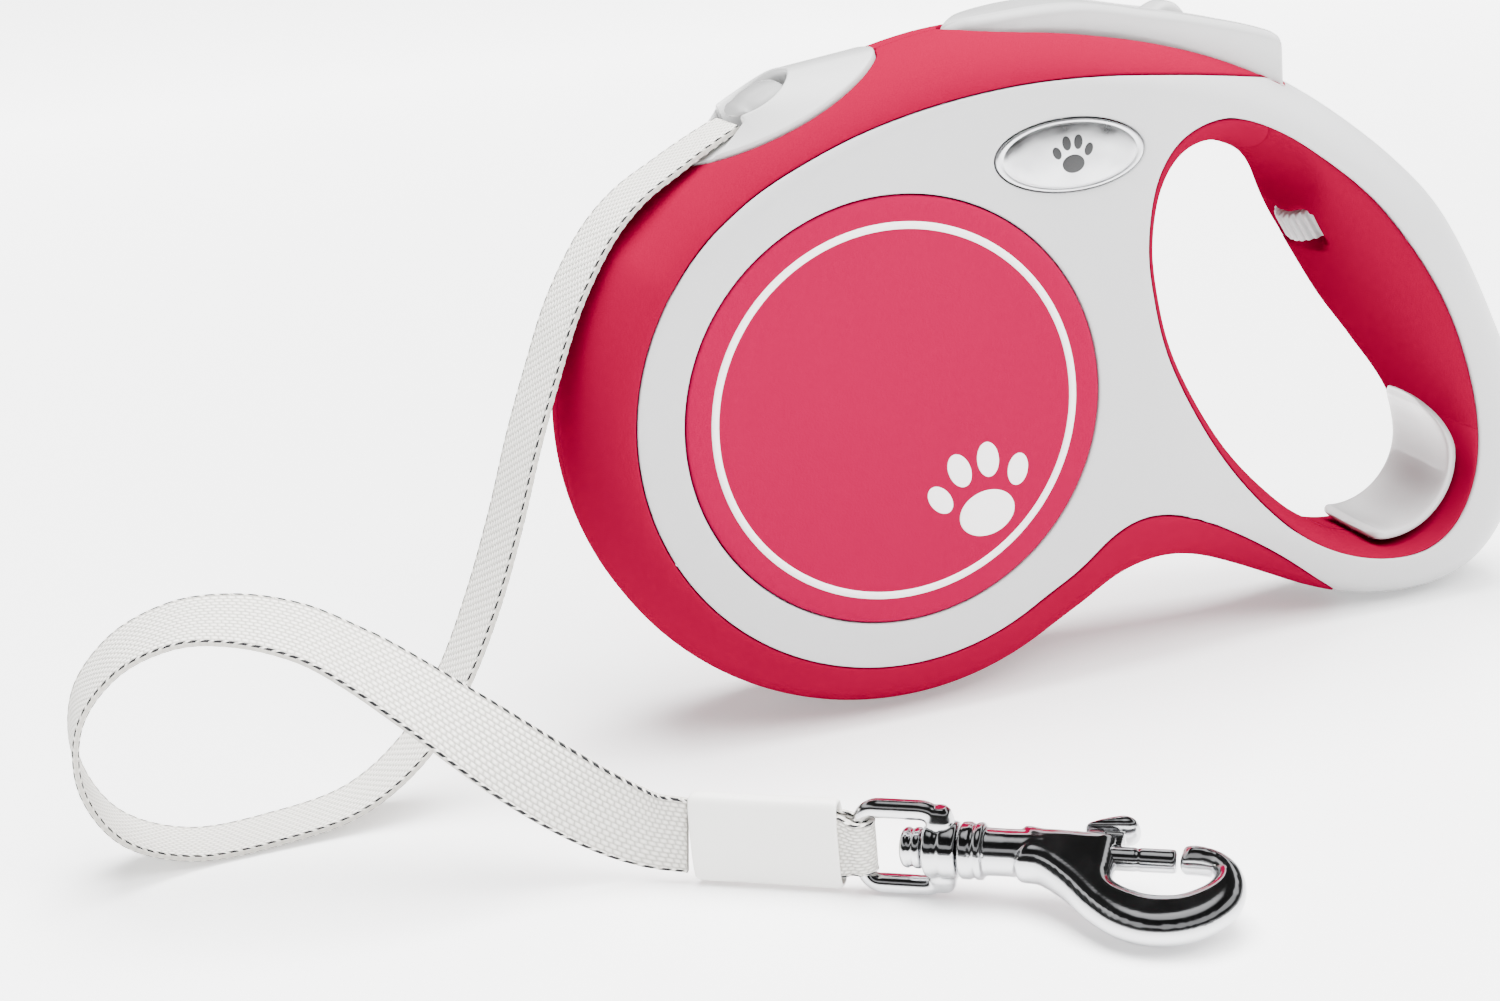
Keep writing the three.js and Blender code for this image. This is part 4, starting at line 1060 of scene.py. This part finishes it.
def scooped(points):
    """The grip's skin with the hollow and the slot that the thumbwheel stands in."""
    p = points.copy()
    from_wheel = p[:, [0, 2]] - WHEEL_AT
    along, aside = from_wheel @ GRIP_AXIS, from_wheel @ GRIP_OUT
    away = np.hypot(aside, p[:, 1])
    near = 1 - ease((np.abs(along) - 3.9) / 1.6)
    middle = 1 - ease((np.abs(p[:, 1]) - 8.0) / 2.4)
    hollow = near * middle * np.maximum(0, away - (WHEEL_RADIUS - 1.25))
    slot = (np.abs(along) < WHEEL_HALF + 0.35) & (np.abs(p[:, 1]) < 10.5) & (aside < 0)
    target = away - hollow
    target = np.where(slot, np.minimum(target, WHEEL_RADIUS - 2.4), target)
    share = (np.where(aside < 0, target, away) / np.maximum(away, 1e-6))[:, None]
    moved = aside[:, None] * share * GRIP_OUT + along[:, None] * GRIP_AXIS + WHEEL_AT
    return np.stack([moved[:, 0], p[:, 1] * share[:, 0], moved[:, 1]], 1)


def grip_form():
    from_end = np.minimum(np.arange(len(GRIP_EDGE)), np.arange(len(GRIP_EDGE))[::-1]) * 0.45
    rows = wall_rows(GRIP_EDGE, 2.0 + 0.6 * ease(from_end / 16), 40)
    far = [row * [1, -1, 1] for row in rows[-2::-1]]
    back = [rows[0] + [0.0, 2.0, 0.0], far[-1] - [0.0, 2.0, 0.0]]
    rows = [back[0]] + rows + far + [back[1]]
    rows = [scooped(row) for row in rows]
    columns = [np.stack([row[i] for row in rows]) for i in range(len(rows[0]))]
    return oriented(*capped(columns))


two_sided("shell_liner", shell_liner(), LINER_RED, ["shell"], "red_plastic")
make("grip_skin", *grip_form(), GRIP_RED, replaces=["grip_bar"], slot="red_grip")


# ------------------------------------------------------------------ thumbwheel and guard


def on_grip_axis(points):
    """Points built about X, placed so that the axis runs down the grip through the wheel's middle."""
    p = np.asarray(points)
    xz = WHEEL_AT + p[:, :1] * GRIP_AXIS + p[:, 2:] * GRIP_OUT
    return np.stack([xz[:, 0], p[:, 1], xz[:, 1]], 1)


def ribbed_wheel(ribs=30, steps=360):
    t = np.linspace(0, 2 * np.pi, steps, endpoint=False)
    groove = 1.15 * (0.5 - 0.5 * np.cos(ribs * t)) ** 1.6
    rows = []
    for x, drop, depth in (
        (-3.5, 3.0, 0), (-3.5, 1.1, 0.2), (-3.35, 0.55, 0.6), (-3.0, 0.15, 0.9), (-2.4, 0.0, 1),
        (2.4, 0.0, 1), (3.0, 0.15, 0.9), (3.35, 0.55, 0.6), (3.5, 1.1, 0.2), (3.5, 3.0, 0),
    ):
        r = WHEEL_RADIUS - drop - groove * depth
        rows.append(np.stack([np.full(steps, x), r * np.cos(t), r * np.sin(t)], 1))
    return oriented(*capped(rows))


points, faces = ribbed_wheel()
make(
    "thumbwheel_ribs", on_grip_axis(points), faces, GREY, "thumbwheel",
    replaces=["adjust_wheel"], slot="grey_plastic",
)

GUARD_AT = np.array([116.4, 31.9])
GUARD_MIDDLE, GUARD_THICK, GUARD_HALF = 16.3, 2.6, 12.0


def guard_form():
    bow = arc(*GUARD_AT, GUARD_MIDDLE, -105, 24, 40)
    line = catmull(np.vstack([bow[::4], [[129.8, 41.4], [128, 44], [126.2, 45.8]]]), 0.6)
    n = len(line)
    length = np.linspace(0, 1, n) * 0.6 * (n - 1)
    total = length[-1]
    along = np.gradient(line, axis=0)
    along /= np.linalg.norm(along, axis=1, keepdims=True)
    out = np.stack([along[:, 1], -along[:, 0]], 1)
    rows = []
    for i in range(n):
        start = math.sqrt(max(0.0, 1 - max(0.0, 1 - length[i] / 3.0) ** 2))
        horn = min(1.0, (total - length[i]) / 15.0)
        half = (GUARD_HALF - 3.0 + 3.0 * start) * (0.13 + 0.87 * math.sqrt(max(0.0, 1 - (1 - horn) ** 2)))
        blunt = min(1.0, (0.15 + length[i] / 1.2), 0.35 + (total - length[i]) / 5.0)
        section = superellipse(half, GUARD_THICK / 2 * blunt, 5, 56)
        dish = -0.5 * (section[:, 0] / GUARD_HALF) ** 2
        xz = line[i] + out[i] * (section[:, 1] + dish)[:, None]
        rows.append(np.stack([xz[:, 0], section[:, 0], xz[:, 1]], 1))
    return oriented(*capped(rows))


make("guard_crescent", *guard_form(), GLOSS, "guard", replaces=["grip_guard"], slot="gloss_grey")


# ------------------------------------------------------------------ badge and plain decoration


def badge_form():
    rows = []
    for share, y in (
        (1.0, -19.6), (1.0, -20.9), (0.992, -21.05), (0.975, -21.12), (0.925, -21.14), (0.912, -21.0),
        (0.9, -21.05), (0.885, -21.3), (0.84, -21.55), (0.76, -21.8), (0.64, -22.0), (0.5, -22.14),
        (0.35, -22.23), (0.18, -22.28), (0.05, -22.3),
    ):
        ring = ellipse(*BADGE_PLACE, 16 * share, 7.2 * share, BADGE_TURN)
        rows.append(np.stack([ring[:, 0], np.full(len(ring), y), ring[:, 1]], 1))
    return oriented(*capped(rows))


two_sided("badge_dome", badge_form(), SILVER, ["badge"], "silver_badge")


def pad(x, z, a, b, turn, surface, height):
    """One low pad of a paw print, on a surface whose depth is given as a function of x and z."""
    rows = []
    for share, rise in ((1.0, -0.15), (1.0, 0.6), (0.93, 0.9), (0.7, 1.0), (0.3, 1.0)):
        ring = ellipse(x, z, a * share, b * share, math.radians(turn), steps=40)
        y = -(surface(ring[:, 0], ring[:, 1]) + height * rise)
        rows.append(np.stack([ring[:, 0], y, ring[:, 1]], 1))
    return capped(rows)


def paw_print(x, z, size, surface, height, lean=0.0):
    """A plain paw print: a heel pad and four toes."""
    shapes = []
    for u, w, a, b, turn in (
        (0, -0.22, 0.36, 0.28, 0), (-0.52, 0.16, 0.13, 0.2, 24), (-0.19, 0.42, 0.14, 0.22, 8),
        (0.19, 0.42, 0.14, 0.22, -8), (0.52, 0.16, 0.13, 0.2, -24),
    ):
        c, s = math.cos(math.radians(lean)), math.sin(math.radians(lean))
        shapes.append(pad(
            x + size * (u * c - w * s), z + size * (u * s + w * c),
            size * a, size * b, turn + lean, surface, height,
        ))
    return oriented(*joined(*shapes))


def badge_depth(x, z):
    share = np.hypot((x - BADGE_PLACE[0]) / 16, (z - BADGE_PLACE[1]) / 7.2)
    return np.interp(share, [0, 0.18, 0.35, 0.5, 0.64, 0.76], [22.3, 22.28, 22.23, 22.14, 22.0, 21.8])


def cap_depth(x, z):
    return np.full(np.shape(x), 21.0)


def ring_line(radius, width, height):
    """A thin raised line round the cap."""
    rows = []
    wide = radius + width
    for r, y in ((radius, 20.9), (radius, 21 + height), (wide, 21 + height), (wide, 20.9)):
        ring = ellipse(0, DISC_Z, r, r, steps=220)
        rows.append(np.stack([ring[:, 0], np.full(len(ring), -y), ring[:, 1]], 1))
    return oriented(*strip(rows))


two_sided("cap_line", ring_line(37.4, 1.5, 0.07), WHITE_PRINT, [], "ivory_sleeve")
two_sided("cap_paw", paw_print(17, 45.5, 17, cap_depth, 0.07, 12), WHITE_PRINT, [], "ivory_sleeve")
two_sided("badge_paw", paw_print(40.4, 112.7, 6.6, badge_depth, 0.08), BLACK, [], "black_plastic")

# ------------------------------------------------------------------ tape outlet
MOUTH_U, MOUTH_ALONG, MOUTH_ACROSS = -4.2, 9.4, 8.6
BED_HALF = 7.95


def on_top_edge(u, v, rise):
    """A point at a distance u along the top edge from the outlet's middle and v across it."""
    place = NOZZLE_PLACE - np.asarray(u) / OUTLINE_STEP
    flat = along_ring(UNROLLED, place) - along_ring(NORMAL, place) * np.abs(v)[:, None]
    points = lift(flat, rise)
    points[:, 1] *= -np.sign(np.where(v == 0, 1e-9, v))
    points[np.abs(v) < 1e-6, 1] = 0
    return points


def hood_height(u, t):
    """How far the hood stands over the casing; t runs from 0 at its edge to 1 at the lip."""
    lip = np.interp(u, [-16, -12.6, -8.7, 3, 6, 20], [2.2, 2.9, 3.7, 4.3, 4.3, 4.3])
    return 0.75 + (lip - 0.75) * np.clip(t, 0, 1) ** 1.25


def nozzle_form(steps=300):
    a = np.linspace(0, 2 * np.pi, steps, endpoint=False)
    rim = np.stack([NOZZLE_ALONG * np.cos(a), NOZZLE_ACROSS * np.sin(a)], 1)
    lip = np.stack([MOUTH_U + MOUTH_ALONG * np.cos(a), MOUTH_ACROSS * np.sin(a)], 1)
    bed_floor = 0.25
    rows = []

    def row(uv, height):
        u, v = uv[:, 0], uv[:, 1]
        in_bed = ease((BED_HALF - np.abs(v)) / 0.5) * ease((-9.0 - u) / 0.8)
        rows.append(on_top_edge(u, v, height * (1 - in_bed) + np.minimum(height, bed_floor) * in_bed))

    row(rim, np.full(steps, -1.6))
    row(rim, np.full(steps, 0.45))
    row(rim * 0.99, np.full(steps, 0.68))
    for t in np.linspace(0.03, 1, 34) ** 0.9:
        uv = rim * (1 - t) + lip * t
        row(uv, hood_height(uv[:, 0], t))
    top = hood_height(lip[:, 0], 1.0)
    for share, drop in (
        (0.975, -0.12), (0.95, -0.1), (0.925, 0.1), (0.905, 0.55), (0.9, 1.6), (0.895, 4.0), (0.89, 9.0),
    ):
        middle = np.array([MOUTH_U, 0])
        row(middle + (lip - middle) * share, top - drop)
    return strip(rows)


make("nozzle_hood", *nozzle_form(), GLOSS, replaces=["tape_nozzle"], slot="gloss_grey")


def tongue_form():
    """The rounded tongue in the mouth, longer than wide, with a blunt nose over the tape."""
    rows = []
    for k in range(31):
        share = -math.cos(k / 30 * math.pi)
        swell = max(0.02, 1 - abs(share) ** 2.6) ** (1 / 2.6)
        u = -3.3 + 6.3 * share
        half = 6.4 * swell
        top = np.interp(u, [-9.6, -8, -5, -1, 1.5, 3], [2.7, 3.5, 4.2, 4.3, 4.0, 2.6])
        bottom = np.interp(u, [-9.6, -7.6, -6.4, 3], [1.9, 1.6, -2.5, -2.5])
        middle, tall = (top + bottom) / 2, (top - bottom) / 2 * (0.35 + 0.65 * swell)
        section = superellipse(half, tall, 2.8, 48)
        rows.append(on_top_edge(np.full(48, u), section[:, 0], middle + section[:, 1]))
    return oriented(*capped(rows))


make("tongue", *tongue_form(), TONGUE_GREY, replaces=["tape_guide"], slot="gloss_grey")

# ------------------------------------------------------------------ brake button and lock
BUTTON_TOP = np.array(
    [[22.6, 137.6], [23.6, 138.6], [26, 139.6], [30, 140.3], [40, 141.0], [47, 140.9], [52, 140.3],
     [57, 138.9], [61, 137.0], [64, 135.9], [70, 134.8], [78, 132.9], [86, 130.9], [90, 129.8],
     [93, 128.6], [94.4, 127.4]]
)
RAIL_TOP = np.array(
    [[22.6, 137.6], [26, 139.6], [30, 140.3], [40, 141.0], [50, 140.6], [57, 139.3], [64, 137.6], [72, 135.8],
     [80, 133.7], [86, 132.0], [92, 129.9], [94.4, 128.4]]
)


def top_edge_z(x):
    return np.interp(x, top_xs, [q[1] for q in top_run])


def button_form():
    nose = 22.62 + np.linspace(0, 1, 14) ** 2 * 6
    xs = np.concatenate([nose, np.arange(29.2, 93.9, 0.7), [93.9, 94.2, 94.38, 94.4]])
    middle = catmull(BUTTON_TOP, 0.4)
    rail = catmull(RAIL_TOP, 0.4)
    rows = []
    for x in xs:
        z_middle = np.interp(x, middle[:, 0], middle[:, 1])
        z_rail = max(z_middle, np.interp(x, rail[:, 0], rail[:, 1]))
        back = max(0.0, 1 - (94.4 - x) / 0.9)
        shrink = 0.9 * (1 - math.sqrt(1 - back * back))
        half = max(0.05, float(button_half(x)) - shrink)
        corner = min(1.9, half * 0.8)
        bottom = top_edge_z(x) - 4.2 - 3.0 * min(1.0, half / 9)
        side = [[-half, bottom], [-half, z_rail - corner - 1.2], [-half, z_rail - corner - 0.3]]
        a = np.linspace(0, np.pi / 2, 9)
        round_off = np.stack([-half + corner * (1 - np.cos(a)), z_rail - corner + corner * np.sin(a)], 1)
        y_top = np.linspace(-half + corner, 0, 16)[1:]
        dip = ease((5.3 - np.abs(y_top)) / 0.9)
        crown = 0.35 * (1 - (y_top / max(half, 1)) ** 2)
        top = np.stack([y_top, z_rail + (z_middle - z_rail) * dip + crown], 1)
        half_section = np.vstack([side, round_off, top])
        other = half_section[-2::-1] * [-1, 1]
        section = np.vstack([half_section, other])
        section[:, 1] -= shrink * (section[:, 1] > bottom + 1)
        rows.append(np.stack([np.full(len(section), x), section[:, 0], section[:, 1]], 1))
    return oriented(*capped(rows))


make("button_shell", *button_form(), BUTTON_GREY, "brake", replaces=["brake_button"], slot="grey_plastic")


def lock_form():
    line = catmull(
        [[64.2, 134.2], [65.4, 135.7], [67.4, 136.5], [69.4, 137.6], [71.4, 138.1], [73.4, 137.5],
         [75, 135.6], [76.2, 133.2]], 0.4,
    )
    rows = []
    for i, (x, z) in enumerate(line):
        bottom = 132.6 - 0.22 * (x - 64.4)
        end = min(1.0, (i + 0.4) / 4, (len(line) - i - 0.6) / 4)
        section = superellipse(4.1 - 0.7 * (1 - end) ** 2, (z - bottom) / 2, 4.5, 44)
        rows.append(np.stack([np.full(44, x), section[:, 0], (z + bottom) / 2 + section[:, 1]], 1))
    return oriented(*capped(rows))


make("lock_knob", *lock_form(), BUTTON_GREY, "brake_lock", replaces=["lock_slide"], slot="grey_plastic")

# ------------------------------------------------------------------ inside the casing


def ribbon_section(half):
    """A tape's section with rounded edges, for the tape inside the casing."""
    return np.array([[-half, 0], [-half + 0.3, -0.5], [0, -0.56], [half - 0.3, -0.5],
                     [half, 0], [half - 0.3, 0.5], [0, 0.56], [-half + 0.3, 0.5]])


def inner_ribbon(name, path, replaced, body):
    """Tape that runs along a flat path in the side view, with its width across the casing."""
    along = np.gradient(path, axis=0)
    along /= np.linalg.norm(along, axis=1, keepdims=True)
    out = np.stack([along[:, 1], -along[:, 0]], 1)
    section = ribbon_section(TAPE_HALF_WIDTH)
    rows = []
    for p, n in zip(path, out):
        xz = p + section[:, 1:] * n
        rows.append(np.stack([xz[:, 0], section[:, 0], xz[:, 1]], 1))
    obj = make(name, *oriented(*capped(rows)), WEBBING, body, replaces=[replaced], slot="webbing")
    length = np.concatenate([[0], np.cumsum(np.linalg.norm(np.diff(path, axis=0), axis=1))])
    layer = obj.data.uv_layers.new(name="weave")
    for loop in obj.data.loops:
        row, column = divmod(loop.vertex_index, len(section))
        if row < len(rows):
            layer.data[loop.index].uv = (0.5 + section[column][0] / 15, length[row])
    return obj


def reel_spiral(turns=16, step=4.0):
    angles = np.radians(np.arange(0, turns * 360 + step, step))
    radius = np.interp(angles, [0, angles[-1]], [23.1, 45.3])
    return np.stack([radius * np.cos(angles), DISC_Z + radius * np.sin(angles)], 1)


inner_ribbon("tape_on_reel", reel_spiral(), "wound_tape", "reel_drum")
LEAD_ROUTE = catmull([[-23.5, 112], [-21.6, 117], [-20.9, 121], [-21.6, 123.6]], 0.8)
inner_ribbon("tape_to_outlet", LEAD_ROUTE, "tape_lead", "casing")

# Pieces that stay as the CAD part has them get a finish of their own.
for cad_node, finish in {
    "reel": BLACK, "spring_cover": BLACK, "mainspring": STEEL, "reel_axle": STEEL,
    "button_pin": STEEL, "brake_spring": STEEL, "adjust_spindle": STEEL, "plunger_spring": STEEL,
    "casing_screw_1": STEEL, "casing_screw_2": STEEL, "casing_screw_3": STEEL, "casing_screw_4": STEEL,
    "casing_screw_5": STEEL,
}.items():
    material_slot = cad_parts[cad_node].material_slots[0]
    material_slot.link = "OBJECT"
    material_slot.material = finish

# ------------------------------------------------------------------ floor and studio light


FLOOR_GLOW = {"under": 0.5, "around": 4.5}


def studio_floor():
    mesh = bpy.data.meshes.new("floor")
    half = 3.0
    corners = [(-half, -half, 0), (half, -half, 0), (half, half, 0), (-half, half, 0)]
    mesh.from_pydata(corners, [], [(0, 1, 2, 3)])
    mat = material("floor", (0.9, 0.9, 0.9), 0.22, Specular_IOR_Level=0.3)
    bsdf = mat.node_tree.nodes["Principled BSDF"]
    bsdf.inputs["Emission Color"].default_value = (1, 1, 1, 1)
    # The floor glows more away from the part, so that the background stays white round soft shadows.
    coords, out = object_coords(mat)
    distance = node(mat, "ShaderNodeVectorMath", operation="LENGTH")
    link(mat, coords, out, distance, "Vector")
    glow = remap(mat, (distance, "Value"), FLOOR_GLOW["under"], FLOOR_GLOW["around"], 0.16, 1.1)
    feed(mat, glow, "Emission Strength")
    mesh.materials.append(mat)
    floor = bpy.data.objects.new("floor", mesh)
    floor.location.z = -0.0002
    bpy.context.scene.collection.objects.link(floor)


def world_ramp(tree, source, stops):
    """A grey ramp over a direction's coordinate, from [coordinate, value] pairs."""
    scale = tree.nodes.new("ShaderNodeMapRange")
    scale.inputs["From Min"].default_value = -1
    tree.links.new(source, scale.inputs["Value"])
    made = tree.nodes.new("ShaderNodeValToRGB")
    tree.links.new(scale.outputs["Result"], made.inputs["Fac"])
    elements = made.color_ramp.elements
    while len(elements) < len(stops):
        elements.new(0.5)
    for element, (at, value) in zip(elements, stops):
        element.position = (at + 1) / 2
        element.color = (value, value, value, 1)
    return made.outputs["Color"]


def world_mix(tree, blend, factor, a, b):
    mix = tree.nodes.new("ShaderNodeMix")
    mix.data_type, mix.blend_type = "RGBA", blend
    for socket, value in ((mix.inputs["Factor"], factor), (mix.inputs[6], a), (mix.inputs[7], b)):
        if isinstance(value, bpy.types.NodeSocket):
            tree.links.new(value, socket)
        else:
            socket.default_value = value
    return mix.outputs[2]


def studio_world():
    """A dark room with a pale back and a strip of light, for the chrome's bands; the camera sees white."""
    world = bpy.data.worlds.new("studio")
    world.use_nodes = True
    tree = world.node_tree
    coords = tree.nodes.new("ShaderNodeTexCoord")
    split = tree.nodes.new("ShaderNodeSeparateXYZ")
    tree.links.new(coords.outputs["Generated"], split.inputs["Vector"])
    depth = world_ramp(tree, split.outputs["Y"], [(-0.9, 0.5), (-0.3, 0.6), (0.2, 1.0), (0.6, 1.0)])
    height = world_ramp(tree, split.outputs["Z"], [
        (0.0, 0.9), (0.1, 0.8), (0.16, 0.04), (0.4, 0.03), (0.46, 1.0), (0.6, 1.0), (0.66, 0.03),
        (0.93, 0.02), (0.97, 1.0),
    ])
    room = world_mix(tree, "MULTIPLY", 1.0, depth, height)
    path = tree.nodes.new("ShaderNodeLightPath")
    seen = world_mix(tree, "MIX", path.outputs["Is Camera Ray"], room, (6, 6, 6, 1))
    tree.links.new(seen, tree.nodes["Background"].inputs["Color"])
    bpy.context.scene.world = world


LIGHTS = [
    ["key", (0.35, -0.9, 1.5), 1.2, 79],
    ["overhead", (0.0, 0.15, 1.5), 1.1, 118],
    ["side", (1.1, -0.5, 0.7), 0.5, 7],
]


def studio_lights():
    for name, place, size, power in LIGHTS:
        light = bpy.data.lights.new(name, "AREA")
        light.size = size
        light.energy = power
        lamp = bpy.data.objects.new(name, light)
        lamp.location = place
        lamp.visible_glossy = False
        lamp.rotation_euler = (Vector((0, 0, 0.05)) - Vector(place)).to_track_quat("-Z", "Y").to_euler()
        bpy.context.scene.collection.objects.link(lamp)


studio_floor()
studio_world()
studio_lights()
